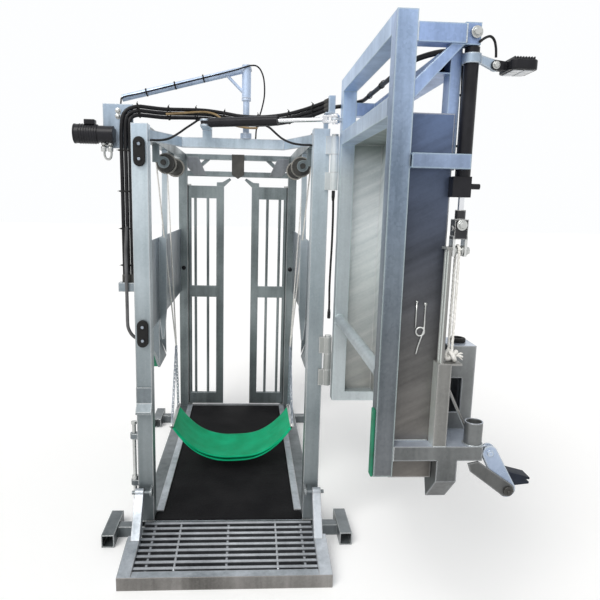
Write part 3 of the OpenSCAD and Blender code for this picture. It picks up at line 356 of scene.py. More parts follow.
lens_glass = plain("lens_glass", (0.5, 0.52, 0.54), (0.66, 0.68, 0.7), rough=(0.08, 0.16), bump=0.02)
mat_rubber = rubber_mat("mat_rubber")
strap_green = webbing("strap_green", (0.0, 0.33, 0.14), (0.006, 0.56, 0.27), 150.0)
rope_white = rope_fibre("rope_white", (0.68, 0.67, 0.63), (0.92, 0.91, 0.88))
rope_grimy = rope_fibre("rope_grimy", (0.2, 0.19, 0.17), (0.38, 0.37, 0.34))
shackle_finish = two_tone("shackle_finish", CLEVIS_SPLIT, ((0.5, 0.51, 0.5), (0.74, 0.75, 0.74)),
                          ((0.008, 0.008, 0.01), (0.02, 0.02, 0.024)))

FINISHES = (
    (zinc_sheet, "door_skin"), (zinc_grey, "side_panels floor_plate"), (zinc_pale, "rear_posts roof_frame"),
    (zinc_ramp, "ramp_frame mat_edge_bars"), (zinc_grate, "ramp_grating"),
    (zinc_gate, "gate_leaf_left gate_leaf_right front_posts header_truss winch_hangers side_top_rails"),
    (dark_steel, "winch_shaft_left winch_shaft_right header_block"), (zinc_boom, "boom_post boom_arm"),
    (zinc_door, "door_frame"), (zinc_arm, "door_outer_frame"), (zinc_foot, "bottom_arm hoof_trough"),
    (zinc_gear, "leg_gear_post"), (zinc_blue, "hoof_rest_lever"), (zinc_bright, "post_hinges door_hinges"),
    (zinc_plated, "hinge_pins gate_hinge_pins stop_bolts lock_pin leg_hook shackle_pulley"),
    (shackle_finish, "rope_shackle"), (chrome, "leg_rod door_cylinder_rod"),
    (black_paint, "leg_cylinder door_cylinder motor work_light"),
)
node_finish = {node: finish for finish, names in FINISHES for node in names.split()}
for node_name, node_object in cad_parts.items():
    node_object.data.materials.clear()
    node_object.data.materials.append(node_finish.get(node_name, zinc))


# Mesh building

def new_piece(name, mesh_bm, material, body, replaces=None, smooth=True):
    """A visible piece that rides its body; material fills its material slot and replaces names the node it
    stands for.
    """
    mesh = bpy.data.meshes.new(name)
    mesh_bm.to_mesh(mesh)
    mesh_bm.free()
    if smooth:
        mesh.shade_smooth()
    mesh.materials.append(material)
    piece = bpy.data.objects.new(name, mesh)
    bpy.context.scene.collection.objects.link(piece)
    if body:
        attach(piece, body)
    if replaces:
        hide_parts(replaces)
    return piece


def millimetres(points):
    return [Vector(p) / 1000 for p in points]


def smooth_line(points, step):
    """Points every step metres on a Catmull-Rom curve through the given ones."""
    padded = [2 * points[0] - points[1]] + list(points) + [2 * points[-1] - points[-2]]
    line = []
    for a, b, c, d in zip(padded, padded[1:], padded[2:], padded[3:]):
        count = max(1, round((c - b).length / step))
        for i in range(count):
            t = i / count
            line.append(0.5 * (2 * b + (c - a) * t + (2 * a - 5 * b + 4 * c - d) * t * t
                               + (3 * b - a - 3 * c + d) * t * t * t))
    return line + [points[-1].copy()]


def frames_along(line):
    """(point, side, other side) at each point, carried along without twist."""
    found = []
    side = None
    for i, point in enumerate(line):
        heading = (line[min(i + 1, len(line) - 1)] - line[max(i - 1, 0)]).normalized()
        if side is None:
            side = heading.orthogonal().normalized()
        side = (side - heading * side.dot(heading)).normalized()
        found.append((point, side, heading.cross(side)))
    return found


def ring_frames(loop, side):
    """Frames along a closed loop of points, with one side held."""
    found = []
    for i, point in enumerate(loop):
        heading = (loop[(i + 1) % len(loop)] - loop[i - 1]).normalized()
        found.append((point, side, heading.cross(side)))
    return found


def turns_of(count):
    """(cosine, sine) of angles evenly round a circle."""
    return [(cos(2 * pi * k / count), sin(2 * pi * k / count)) for k in range(count)]


def add_wall(target, rings):
    """Faces between rings of vertices."""
    for low, high in zip(rings, rings[1:]):
        for k in range(len(low)):
            n = (k + 1) % len(low)
            target.faces.new((low[k], low[n], high[n], high[k]))


def add_caps(target, rings):
    target.faces.new(list(reversed(rings[0])))
    target.faces.new(rings[-1])


def add_tube(target, line, radius, sides=12, closed=False, frames=None):
    """A tube along a line, or through frames; radius is a number or a function of the point's index."""
    size = radius if callable(radius) else lambda i: radius
    rings = [[target.verts.new(p + size(i) * (c * u + s * w)) for c, s in turns_of(sides)]
             for i, (p, u, w) in enumerate(frames or frames_along(line))]
    if closed:
        add_wall(target, rings + rings[:1])
    else:
        add_wall(target, rings)
        add_caps(target, rings)


def add_rope(target, line, diameter, pitch, strands=3):
    """Strands laid round a line."""
    frames = frames_along(line)
    travelled = 0.0
    lay = [[] for _ in range(strands)]
    strand_r = diameter * 0.27
    for i, (p, u, w) in enumerate(frames):
        if i:
            travelled += (p - frames[i - 1][0]).length
        for s in range(strands):
            turn = 2 * pi * (travelled / pitch + s / strands)
            lay[s].append(p + (diameter / 2 - strand_r) * (cos(turn) * u + sin(turn) * w))
    for strand in lay:
        add_tube(target, strand, strand_r, sides=7)


def add_copy(target, source):
    """Adds another mesh's faces to target and frees it."""
    made = {v: target.verts.new(v.co) for v in source.verts}
    for face in source.faces:
        target.faces.new([made[v] for v in face.verts])
    source.free()


def add_prism(target, outline, foot, depth, bevel):
    """A closed outline at foot, pushed along the vector depth, with its edges rounded."""
    made = bmesh.new()
    lower = [made.verts.new(foot + p) for p in outline]
    upper = [made.verts.new(foot + p + depth) for p in outline]
    add_caps(made, [lower, upper])
    add_wall(made, [lower, upper])
    bmesh.ops.recalc_face_normals(made, faces=made.faces)
    sharp = [e for e in made.edges if e.is_manifold and e.calc_face_angle() > 0.6]
    bmesh.ops.bevel(made, geom=sharp, offset=bevel, segments=3, profile=0.6, affect="EDGES")
    add_copy(target, made)


def in_xz(points, side=1):
    """Points in the XZ plane; side -1 mirrors them."""
    return [Vector((side * x, 0, z)) for x, z in points]


def add_plate(target, outline, y, bevel):
    """A plate with an outline in the XZ plane between two depths."""
    add_prism(target, outline, Vector((0, y[0], 0)), Vector((0, y[1] - y[0], 0)), bevel)


def add_block(target, low, high, bevel):
    """A box with rounded edges."""
    low = Vector(low)
    size = Vector(high) - low
    outline = in_xz(((0, 0), (size.x, 0), (size.x, size.z), (0, size.z)))
    add_prism(target, outline, low, Vector((0, size.y, 0)), bevel)


def add_lathe(target, foot, axis, profile, sides=20):
    """A turned form: profile holds (radius, distance along the axis), closed at both ends."""
    axis = Vector(axis).normalized()
    u = axis.orthogonal().normalized()
    w = axis.cross(u)
    rings = [[target.verts.new(Vector(foot) + axis * h + r * (c * u + s * w)) for c, s in turns_of(sides)]
             for r, h in profile]
    add_wall(target, rings)
    add_caps(target, rings)


def add_bolt(target, seat, axis, size):
    """A washer and a chamfered hexagon head; size is the head's radius."""
    add_lathe(target, seat, axis, [(1.45 * size, 0), (1.45 * size, 0.15 * size), (1.35 * size, 0.22 * size)])
    add_lathe(target, Vector(seat) + Vector(axis) * 0.2 * size, axis,
              [(size, 0), (size, 0.62 * size), (0.84 * size, 0.78 * size)], sides=6)


def add_bead(target, ends, radius=0.0026):
    """A weld bead with its ripples, half sunk in the seam."""
    line = smooth_line([Vector(p) for p in ends], 0.004)
    add_tube(target, line, lambda i: radius * (1 + 0.22 * sin(1.9 * i)), sides=8)


TIE_POINTS = 28
TIE_HALF_W = 0.0017
TIE_R = 0.0019
TIE_TAIL = 0.01


def add_tie(target, centre, across, along_side, heading):
    """A cable tie: a loop of half sizes across and along_side (vectors), with its lock and loose tail."""
    loop = [centre + across * c + along_side * s for c, s in turns_of(TIE_POINTS)]
    for shift in (-TIE_HALF_W, TIE_HALF_W):
        ring = [(p + heading * shift, u, w) for p, u, w in ring_frames(loop, heading)]
        add_tube(target, None, TIE_R, sides=6, closed=True, frames=ring)
    lock = centre + across
    out = across.normalized()
    add_lathe(target, lock - out * 0.002, out, [(0.0042, 0), (0.0042, 0.006), (0.003, 0.007)], sides=8)
    tail = [lock, lock + out * TIE_TAIL * 0.6, lock + (out + along_side.normalized()) * TIE_TAIL]
    add_tube(target, tail, 0.0016, sides=6)


def laid_piece(name, routes, step, diameter, sides, body="chute", material=hose_rubber,
               replaces=None):
    """A piece of round lines through points in millimetres, and those lines."""
    made = bmesh.new()
    lines = [smooth_line(millimetres(route), step) for route in routes]
    for line in lines:
        add_tube(made, line, diameter / 2, sides)
    return new_piece(name, made, material, body, replaces), lines


# Camera at the photograph's viewpoint

EYE = Vector((0.0886, -3.0154, 1.8053))
YAW = 0.0635
PITCH = 0.1785
ROLL = -0.0232
FOCAL_PX = 592.65
CENTRE_PX = (284.75, 309.34)
IMAGE_PX = 600
SENSOR = 36.0

forward = Vector((sin(YAW) * cos(PITCH), cos(YAW) * cos(PITCH), -sin(PITCH)))
level = Vector((cos(YAW), -sin(YAW), 0))
down = forward.cross(level)
right = cos(ROLL) * level + sin(ROLL) * down
under = -sin(ROLL) * level + cos(ROLL) * down
lens = bpy.data.cameras.new("camera")
lens.sensor_width = SENSOR
lens.lens = SENSOR * FOCAL_PX / IMAGE_PX
lens.shift_x = (IMAGE_PX / 2 - CENTRE_PX[0]) / IMAGE_PX
lens.shift_y = (CENTRE_PX[1] - IMAGE_PX / 2) / IMAGE_PX
camera = bpy.data.objects.new("camera", lens)
camera.matrix_world = Matrix.Translation(EYE) @ Matrix((right, -under, -forward)).transposed().to_4x4()
bpy.context.scene.collection.objects.link(camera)
bpy.context.scene.camera = camera


# Hoses and cables, on the routes of the solids

HOSE_D = 0.019
CABLE_D = 0.008
LEAD_D = 0.011
CONDUIT_D = 0.017
HOSE_COUNT = 3
HOSE_PITCH = 0.020
HOSE_BEND = 5
LEFT_HOSE = [(-492, 0, 1390), (-492, 0, 1500), (-492, 0, 1700), (-492, 0, 1900), (-492, 0, 2080),
             (-492.5, 2, 2160), (-486, 8, 2190), (-458, 24, 2206), (-410, 54, 2208), (-340, 110, 2210),
             (-250, 190, 2222), (-150, 262, 2232), (-60, 285, 2226), (40, 285, 2212), (150, 262, 2208),
             (260, 205, 2214), (350, 130, 2228), (430, 40, 2246), (484, -28, 2262)]
DOOR_HOSE = [(528, -38, 2268), (560, -30, 2276), (600, -32, 2288), (628, -60, 2294), (634, -130, 2296),
             (634, -300, 2294), (634, -600, 2292), (638, -820, 2292), (660, -900, 2300), (716, -968, 2306),
             (762, -1008, 2296), (776, -1030, 2254), (778, -1042, 2100), (778, -1042, 1950), (778, -1042, 1900),
             (778, -1046, 1880), (777, -1056, 1868), (775, -1070, 1866), (775, -1085.7, 1866)]
LINK_HOSE = [(494, -31, 2263), (506, -35, 2266), (518, -38, 2267.5), (532, -38, 2268.5)]
LIGHT_CABLE = [(785, -1128.3, 2300), (800, -1129, 2312), (818, -1128, 2318), (834, -1122, 2308),
               (844, -1114, 2286), (848, -1109.5, 2262)]
BOOM_CABLE = [(-594, 307.7, 2290), (-592, 307.7, 2312), (-580, 307.7, 2333), (-480, 307.7, 2358),
              (-300, 307.7, 2406), (-120, 307.7, 2454), (10, 301.7, 2488), (92, 301.7, 2513), (130, 304, 2506),
              (154, 312, 2470), (164, 320, 2420), (164, 326, 2360), (152, 328, 2300), (134, 329, 2240),
              (124, 330, 2190), (121, 330, 2140.5)]
ROOF_LEADS = [
    [(-160, 246, 2226), (-180, 226, 2218), (-205, 196, 2196), (-235, 150, 2168), (-270, 100, 2134),
     (-310, 56, 2104), (-352, 30, 2092), (-398, 14, 2090)],
    [(170, 244, 2204), (196, 226, 2188), (224, 196, 2160), (258, 150, 2128), (300, 96, 2104),
     (346, 48, 2092), (398, 12, 2088)],
]
TAN_LEAD = [(-330, 104, 2226), (-240, 184, 2246), (-150, 250, 2262), (-90, 264, 2252), (-40, 262, 2216),
            (20, 262, 2198), (80, 260, 2190), (130, 256, 2190)]
CONDUIT = [(-513, -20, 1670), (-515, -29, 1600), (-517, -34.5, 1540), (-517, -34.5, 1400), (-517, -34.5, 1260),
           (-517, -34.5, 1190), (-514, -33, 1160), (-502, -27, 1130), (-488, -20, 1112), (-478, -16, 1104)]
HINGE_LEAD = [(505, -45, 1868), (506, -44, 1820), (508, -43, 1720), (507, -45, 1600), (504, -46, 1480),
              (503, -45, 1380), (505, -44, 1300), (505, -45, 1224)]
LEAD_PLUG = [(0.0075, 0), (0.0085, 0.002), (0.0085, 0.03), (0.006, 0.05)]


def hose_offset(k, i):
    """Hoses lie side by side up the post and turn to lie on each other over the roof."""
    turn = pi / 2 * max(0, min(1, (i + 1 - HOSE_BEND) / 3))
    return k * 1000 * HOSE_PITCH * Vector((-cos(turn), 0, sin(turn)))


hose_routes = [[Vector(p) + hose_offset(k, i) for i, p in enumerate(LEFT_HOSE)] for k in range(HOSE_COUNT)]
_, hose_lines = laid_piece("roof_hoses", hose_routes, 0.02, HOSE_D, 16, replaces="hoses")
_, (door_line,) = laid_piece("door_hose", [DOOR_HOSE], 0.02, HOSE_D, 16, "rear_door", replaces="door_hoses")
laid_piece("light_cable", [LIGHT_CABLE], 0.004, CABLE_D, 10, "rear_door")
boom_cable, (boom_line,) = laid_piece("boom_lead", [BOOM_CABLE], 0.008, CABLE_D, 10, "boom",
                                      replaces="boom_cable")
link_hose, (link_line,) = laid_piece("link_hose", [LINK_HOSE], 0.003, HOSE_D, 16, None)
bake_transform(link_hose)
laid_piece("roof_leads", ROOF_LEADS, 0.01, LEAD_D, 12)
laid_piece("post_conduit", [CONDUIT], 0.008, CONDUIT_D, 16, material=conduit_grey)
laid_piece("tan_lead", [TAN_LEAD], 0.01, LEAD_D, 12, material=sleeve_tan)

made = bmesh.new()
hinge_line = smooth_line(millimetres(HINGE_LEAD), 0.01)
add_tube(made, hinge_line, LEAD_D / 2)
for end, way in ((hinge_line[0], -1), (hinge_line[-1], 1)):
    add_lathe(made, end, (0, 0, way), LEAD_PLUG)
new_piece("hinge_lead", made, hose_rubber, "chute")


# Ties, ferrules and the bulkhead of the hoses

TIE_SHARES = (0.05, 0.14, 0.23, 0.32, 0.44, 0.52, 0.6, 0.68, 0.77, 0.86, 0.94)
TIE_HALF = HOSE_D / 2 + 0.002
ARM_SPOT = Vector((-0.12, 0.326, 2.454))
ARM_WAY = Vector((1, 0, (2454 - 2358) / 360))
BOOM_TIE_XS = (-0.46, -0.31, -0.16)
BOOM_TIE_HALF = (0.0238, 0.0195)
FERRULE = [(0.0105, 0), (0.0125, 0.002), (0.0125, 0.032), (0.0118, 0.034), (0.0125, 0.036), (0.0105, 0.04)]
FERRULE_NUT = [(0.0098, 0), (0.0135, 0.001), (0.0135, 0.012), (0.0098, 0.013)]
ROOF_FERRULE_BACK = 0.045
DOOR_FERRULE_BACK = 0.038


def bundle_at(share):
    """Centre, half height and heading of the hose bundle at a share of its length."""
    spots = [line[round(share * (len(line) - 1))] for line in hose_lines]
    middle = hose_lines[1]
    i = round(share * (len(middle) - 1))
    heading = (middle[min(i + 1, len(middle) - 1)] - middle[max(i - 1, 0)]).normalized()
    spread = (spots[2] - spots[0]) / 2
    spread -= heading * spread.dot(heading)
    return (spots[0] + spots[2]) / 2, spread, heading


made = bmesh.new()
for share in TIE_SHARES:
    centre, spread, heading = bundle_at(share)
    tall = spread.normalized() * (spread.length + TIE_HALF)
    wide = heading.cross(spread).normalized() * (HOSE_D / 2 + 0.003)
    add_tie(made, centre, tall, wide, heading)
new_piece("hose_ties", made, black_rubber, "chute")

made = bmesh.new()
heading = ARM_WAY.normalized()
for x in BOOM_TIE_XS:
    add_tie(made, ARM_SPOT + ARM_WAY * (x - ARM_SPOT.x), Vector((0, BOOM_TIE_HALF[0], 0)),
            heading.cross(Vector((0, 1, 0))) * BOOM_TIE_HALF[1], heading)
new_piece("boom_ties", made, black_rubber, "boom")

made = bmesh.new()
for y in (-0.2, -0.45, -0.7):
    add_tie(made, Vector((0.634, y, 2.2935)), Vector((0, 0, TIE_HALF)), Vector((TIE_HALF, 0, 0)),
            Vector((0, 1, 0)))
for z in (2.16, 2.0):
    add_tie(made, Vector((0.778, -1.042, z)), Vector((TIE_HALF, 0, 0)), Vector((0, TIE_HALF, 0)),
            Vector((0, 0, 1)))
new_piece("door_ties", made, black_rubber, "rear_door")

made = bmesh.new()
for line in hose_lines:
    add_lathe(made, line[0], UP, FERRULE, sides=16)
    add_lathe(made, line[0], UP, FERRULE_NUT, sides=6)
    arriving = (line[-1] - line[-3]).normalized()
    add_lathe(made, line[-1] - arriving * ROOF_FERRULE_BACK, arriving, FERRULE, sides=16)
new_piece("hose_ferrules", made, dark_steel, "chute", smooth=False)

made = bmesh.new()
add_lathe(made, door_line[0], door_line[2] - door_line[0], FERRULE, sides=16)
arriving = (door_line[-1] - door_line[-2]).normalized()
add_lathe(made, door_line[-1] - arriving * DOOR_FERRULE_BACK, arriving, FERRULE, sides=16)
new_piece("door_ferrules", made, zinc_plated, "rear_door", smooth=False)

made = bmesh.new()
add_block(made, (0.468, -0.046, 2.238), (0.5, -0.012, 2.318), 0.003)
add_block(made, (0.452, -0.046, 2.232), (0.5, 0.02, 2.24), 0.002)
add_block(made, (0.452, 0.012, 2.1595), (0.476, 0.02, 2.238), 0.002)
add_bead(made, [(0.452, 0.011, 2.161), (0.476, 0.011, 2.161)])
new_piece("hose_bulkhead", made, zinc, "chute", smooth=False)


# Belly strap, chains and ropes

STRAP_HALF = 0.38
STRAP_Y = (0.56, 0.94)
STRAP_END_Z = 0.40
STRAP_LOW_Z = 0.19
STRAP_T = 0.008
STRAP_STEPS = 48
SAG_POWER = 2.7
RIPPLE = 0.0016
HEMS = [(0.0, 1.0), (0.03, 1.5), (0.06, 1.0), (0.5, 0.9), (0.94, 1.0), (0.97, 1.5), (1.0, 1.0)]
BAR_D = 0.024
BAR_Z = STRAP_END_Z + 0.004
CHAIN_TOP = Vector((0.37, 0.75, 0.8726))
LINK_WIRE = 0.0055
LINK_PITCH = 0.026
LINK_WIDTH = 0.019
EYE_HALF = 0.018
EYE_R = 0.006
ROPE_D = 0.010
ROPE_PITCH = 0.05
JOIN = Vector((0.37, 0.75, 0.88))
JOIN_HALF = 0.008
ROPE_TOP_X = 0.4455
SHAFT_X = 0.39
SHAFT_Z = 2.01
DRUM_Y = (0.52, 0.98)
DRUM_R = 0.05
DRUM_TURNS = 3.25
TURN_PITCH = 1.06 * ROPE_D
TURN_POINTS = 28


def strap_band(name, y, drop, thickness, replaces=None):
    """A sagging band between the end bars, thick at its two hems; drop is how far its middle hangs lower."""
    made = bmesh.new()
    top, bottom = [], []
    depth = STRAP_END_Z - STRAP_LOW_Z
    width = Vector((0, y[1] - y[0], 0))
    for i in range(STRAP_STEPS + 1):
        x = -STRAP_HALF + 2 * STRAP_HALF * i / STRAP_STEPS
        share = abs(x / STRAP_HALF)
        slope = copysign(SAG_POWER * depth / STRAP_HALF * share ** (SAG_POWER - 1), x)
        normal = Vector((-slope, 0, 1)).normalized()
        ripple = RIPPLE * sin(23 * x) * cos(9 * x)
        sag = STRAP_LOW_Z + depth * share ** SAG_POWER
        base = Vector((x, y[0], sag + STRAP_T / 2 - drop * (1 - share ** 2) + ripple))
        for face, way in ((top, 1), (bottom, -1)):
            lift = normal * way * thickness / 2
            face.append([made.verts.new(base + lift * w + width * s) for s, w in HEMS])
    last = len(HEMS) - 1
    for i in range(STRAP_STEPS):
        for k in range(last):
            made.faces.new((top[i][k], top[i + 1][k], top[i + 1][k + 1], top[i][k + 1]))
            made.faces.new((bottom[i][k], bottom[i][k + 1], bottom[i + 1][k + 1], bottom[i + 1][k]))
        for k in (0, last):
            made.faces.new((top[i][k], bottom[i][k], bottom[i + 1][k], top[i + 1][k]))
    for i in (0, STRAP_STEPS):
        for k in range(last):
            made.faces.new((top[i][k], top[i][k + 1], bottom[i][k + 1], bottom[i][k]))
    bmesh.ops.recalc_face_normals(made, faces=made.faces)
    new_piece(name, made, strap_green, "strap", replaces)


def add_link(target, centre, heading, side):
    """One oval chain link, long along heading and wide along side."""
    half = LINK_PITCH / 2 + LINK_WIRE * 0.4 - LINK_WIDTH / 2 + LINK_WIRE
    bend = (LINK_WIDTH - LINK_WIRE) / 2
    loop = []
    for end in (1, -1):
        for i in range(7):
            a = pi * i / 6
            loop.append(centre + heading * end * (half + bend * sin(a)) + side * end * bend * cos(a))
    across = heading.cross(side).normalized()
    add_tube(target, None, LINK_WIRE / 2, sides=7, closed=True, frames=ring_frames(loop, across))


strap_band("strap_band", STRAP_Y, 0, STRAP_T, "belly_strap")
strap_band("strap_lower_band", (STRAP_Y[0] - 0.006, STRAP_Y[0] + 0.06), 0.02, 0.006)

bar_bm = bmesh.new()
chain_bm = bmesh.new()
rope_bm = bmesh.new()
for side in (-1, 1):
    bar = [Vector((side * STRAP_HALF, y, BAR_Z)) for y in (STRAP_Y[0] - 0.01, STRAP_Y[1] + 0.01)]
    add_tube(bar_bm, bar, BAR_D / 2, sides=20)
    top_point = Vector((side * CHAIN_TOP.x, CHAIN_TOP.y, CHAIN_TOP.z))
    for y in (STRAP_Y[0] + 0.02, STRAP_Y[1] - 0.02):
        foot = Vector((side * STRAP_HALF, y, BAR_Z + BAR_D / 2))
        heading = (top_point - foot).normalized()
        count = round((top_point - foot).length / LINK_PITCH)
        flat_side = heading.orthogonal().normalized()
        for i in range(count):
            turned = Quaternion(heading, pi / 2 * (i % 2)) @ flat_side
            add_link(chain_bm, foot + heading * (top_point - foot).length * (i + 0.5) / count, heading, turned)
    add_tube(chain_bm, [top_point + Vector((0, y, 0)) for y in (-EYE_HALF, EYE_HALF)], EYE_R)
    for y in DRUM_Y:
        low = Vector((side * JOIN.x, JOIN.y + (JOIN_HALF if y > JOIN.y else -JOIN_HALF), JOIN.z))
        high = Vector((side * ROPE_TOP_X, y, SHAFT_Z))
        add_rope(rope_bm, smooth_line([low, high], 0.006), ROPE_D, ROPE_PITCH)
new_piece("strap_bars", bar_bm, zinc_plated, "strap")
new_piece("strap_chain_links", chain_bm, chain_steel, "strap", "strap_chains")
strap_rope = new_piece("strap_rope_strands", rope_bm, rope_white, "chute", "strap_ropes")
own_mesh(strap_rope)

for side, hand in ((-1, "left"), (1, "right")):
    made = bmesh.new()
    for y in DRUM_Y:
        helix = []
        lead = -TURN_PITCH if y > JOIN.y else TURN_PITCH
        for i in range(round(DRUM_TURNS * TURN_POINTS) + 1):
            a = 2 * pi * i / TURN_POINTS
            reach = DRUM_R + ROPE_D / 2
            helix.append(Vector((side * (SHAFT_X + reach * cos(a)), y + lead * i / TURN_POINTS,
                                 SHAFT_Z + reach * sin(a))))
        add_rope(made, helix, ROPE_D, ROPE_PITCH)
    new_piece("winch_turns_" + hand, made, rope_grimy, "winch_" + hand)


# Leg-lift rope over its pulley, with its knot

LEG = Vector((0.775, -1.100, 0))
PULLEY_Z = 1.662
PULLEY_ROPE_R = 0.0175
KNOT_Z = 1.3095
LEG_PITCH = (PULLEY_Z - KNOT_Z) / 7
KNOT_R = 0.0125
KNOT_ROPE = 0.0075
KNOT_POINTS = 120
FRAY = 14

made = bmesh.new()
for side in (-1, 1):
    strand = [LEG + Vector((0, side * PULLEY_ROPE_R, z)) for z in (KNOT_Z, PULLEY_Z)]
    add_rope(made, smooth_line(strand, 0.005), ROPE_D, LEG_PITCH)
leg_rope = new_piece("leg_rope_strands", made, rope_white, "rear_door", "leg_rope")
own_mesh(leg_rope)

made = bmesh.new()
bight = [LEG + Vector((0, -PULLEY_ROPE_R * cos(a), PULLEY_Z + PULLEY_ROPE_R * sin(a)))
         for a in (pi * i / 16 for i in range(17))]
add_rope(made, bight, ROPE_D, pi * PULLEY_ROPE_R)
new_piece("leg_rope_bight", made, rope_white, "leg_lift")

made = bmesh.new()
knot = []
for i in range(KNOT_POINTS):
    a = 2 * pi * i / KNOT_POINTS
    knot.append(LEG + Vector((0.006 + KNOT_R * (sin(a) + 2 * sin(2 * a)) * 0.5,
                              KNOT_R * (cos(a) - 2 * cos(2 * a)) * 0.5,
                              KNOT_Z - 0.002 + KNOT_R * sin(3 * a))))
add_tube(made, knot, KNOT_ROPE, sides=10, closed=True)
for i, (c, s) in enumerate(turns_of(FRAY)):
    spread = Vector((0, c, s))
    root = LEG + Vector((0.016, 0, KNOT_Z - 0.004)) + 0.003 * spread
    tail = [root, root + Vector((0.012, 0, 0.003)) + 0.002 * spread,
            root + Vector((0.027, 0, -0.004 + 0.003 * (i % 3))) + 0.008 * spread]
    add_tube(made, smooth_line(tail, 0.004), 0.0014, sides=6)
new_piece("leg_rope_knot", made, rope_white, "rear_door")


# Rubber mat, stops, pads and buffers

STOP_X = -0.44
STOP_W = 0.056
STOP_H = 0.14
STOP_Y = (-0.06, -0.04)
STOP_ZS = (1.064, 1.960)
STOP_BOLT_ZS = (0.035, 0.105)
STOP_COLLAR = [(0.016, 0), (0.0145, 0.0045), (0.0118, 0.0045), (0.0105, 0.001)]
STOP_HEAD = [(0.0085, 0), (0.0085, 0.003), (0.0072, 0.004)]
REST_PAD = [(0.4695, 0.7705), (0.5525, 0.7705), (0.511, 0.911)]
REST_PAD_Y = (0.632, 0.908)
BUFFER = Vector((0.865, -0.91, 1.311))
BUFFER_PROFILE = [(0.029, 0), (0.032, 0.002), (0.032, 0.011), (0.0305, 0.0145), (0.027, 0.016),
                  (0.018, 0.016), (0.0165, 0.0145), (0.015, 0.009), (0.006, 0.0085)]
EDGE_STRIP = ((0.517, -1.128, 0.88), (0.5265, -1.092, 1.12))
RUBBER_BEVEL = 0.003


def arc(centre, radius, start, end, count):
    """Points on an arc in the XZ plane; angles in degrees."""
    angles = [radians(start + (end - start) * i / (count - 1)) for i in range(count)]
    return [centre + radius * Vector((cos(a), 0, sin(a))) for a in angles]


made = bmesh.new()
add_block(made, *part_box("floor_mat"), RUBBER_BEVEL)
new_piece("stall_mat", made, mat_rubber, "chute", "floor_mat")

stop_bm = bmesh.new()
stop_bolt_bm = bmesh.new()
for z in STOP_ZS:
    outline = arc(Vector((0, 0, STOP_H - STOP_W / 2)), STOP_W / 2, 0, 180, 13)
    outline += arc(Vector((0, 0, STOP_W / 2)), STOP_W / 2, 180, 360, 13)
    add_prism(stop_bm, outline, Vector((STOP_X, STOP_Y[0], z)), Vector((0, STOP_Y[1] - STOP_Y[0], 0)), 0.005)
    for bolt_z in STOP_BOLT_ZS:
        seat = Vector((STOP_X, STOP_Y[0], z + bolt_z))
        add_lathe(stop_bm, seat + Vector((0, 0.002, 0)), NEAR, STOP_COLLAR)
        add_lathe(stop_bolt_bm, seat + Vector((0, 0.001, 0)), NEAR, STOP_HEAD, sides=6)
new_piece("door_stop_rubbers", stop_bm, black_rubber, "chute", "door_stops")
new_piece("stop_bolt_heads", stop_bolt_bm, chain_steel, "chute", smooth=False)

made = bmesh.new()
for side in (-1, 1):
    add_plate(made, in_xz(REST_PAD, side)[::side], REST_PAD_Y, 0.004)
new_piece("rest_pad_rubbers", made, green_rubber, "chute", "hoof_rest_pads")

made = bmesh.new()
add_lathe(made, BUFFER, UP, BUFFER_PROFILE, sides=40)
new_piece("trough_buffer_rubber", made, black_rubber, "rear_door", "trough_buffer")

made = bmesh.new()
add_block(made, *EDGE_STRIP, RUBBER_BEVEL)
new_piece("post_edge_strip", made, green_rubber, "rear_door")


# Hoof-rest lever

BOSS = Vector((1.006, 0, 0.831))
BOSS_R = 0.0262
LEVER_JAW = [(1.108, 0.827), (1.1085, 0.835), (1.094, 0.838), (1.0945, 0.844), (1.1095, 0.843), (1.110, 0.851),
             (1.0265, 0.873)]
LEVER_RUBBER_Y = (-1.08, -1.02)
LEVER_PLATE = [(0.855, 0.93), (0.892, 0.938), (1.026, 0.846), (1.03, 0.825), (1.014, 0.807), (0.99, 0.808),
               (0.866, 0.9)]
LEVER_PLATE_Y = (-1.1355, -1.1275)
LEVER_PIPE = [(956, -1062, 960), (968, -1062, 945), (980, -1062, 918), (992, -1062, 886), (1004, -1062, 846)]
PIPE_D = 0.028
LEVER_BOLT = Vector((1.006, LEVER_PLATE_Y[0], 0.829))
PLATE_BEVEL = 0.0015

made = bmesh.new()
add_plate(made, arc(BOSS, BOSS_R, 40, -30, 8) + in_xz(LEVER_JAW), LEVER_RUBBER_Y, 0.002)
new_piece("lever_rubber_block", made, blue_rubber, "hoof_lever", "lever_rubber")
made = bmesh.new()
add_plate(made, in_xz(LEVER_PLATE)[::-1], LEVER_PLATE_Y, PLATE_BEVEL)
new_piece("lever_plate", made, zinc_low, "hoof_lever", smooth=False)
laid_piece("lever_pipe", [LEVER_PIPE], 0.006, PIPE_D, 20, "hoof_lever", zinc_blue)
made = bmesh.new()
add_lathe(made, LEVER_BOLT, NEAR, [(0.017, 0), (0.017, 0.006), (0.0155, 0.0075)])
add_bolt(made, LEVER_BOLT + Vector((0, -0.0075, 0)), NEAR, 0.0075)
new_piece("lever_bolt", made, dark_steel, "hoof_lever", smooth=False)


# Clip on the end sheet

CLIP_WIRE = 0.003
CLIP_Y = Vector((0, -1.0882, 0))
CLIP_RING = Vector((0.671, 0, 1.386))
CLIP_RING_R = 0.0145

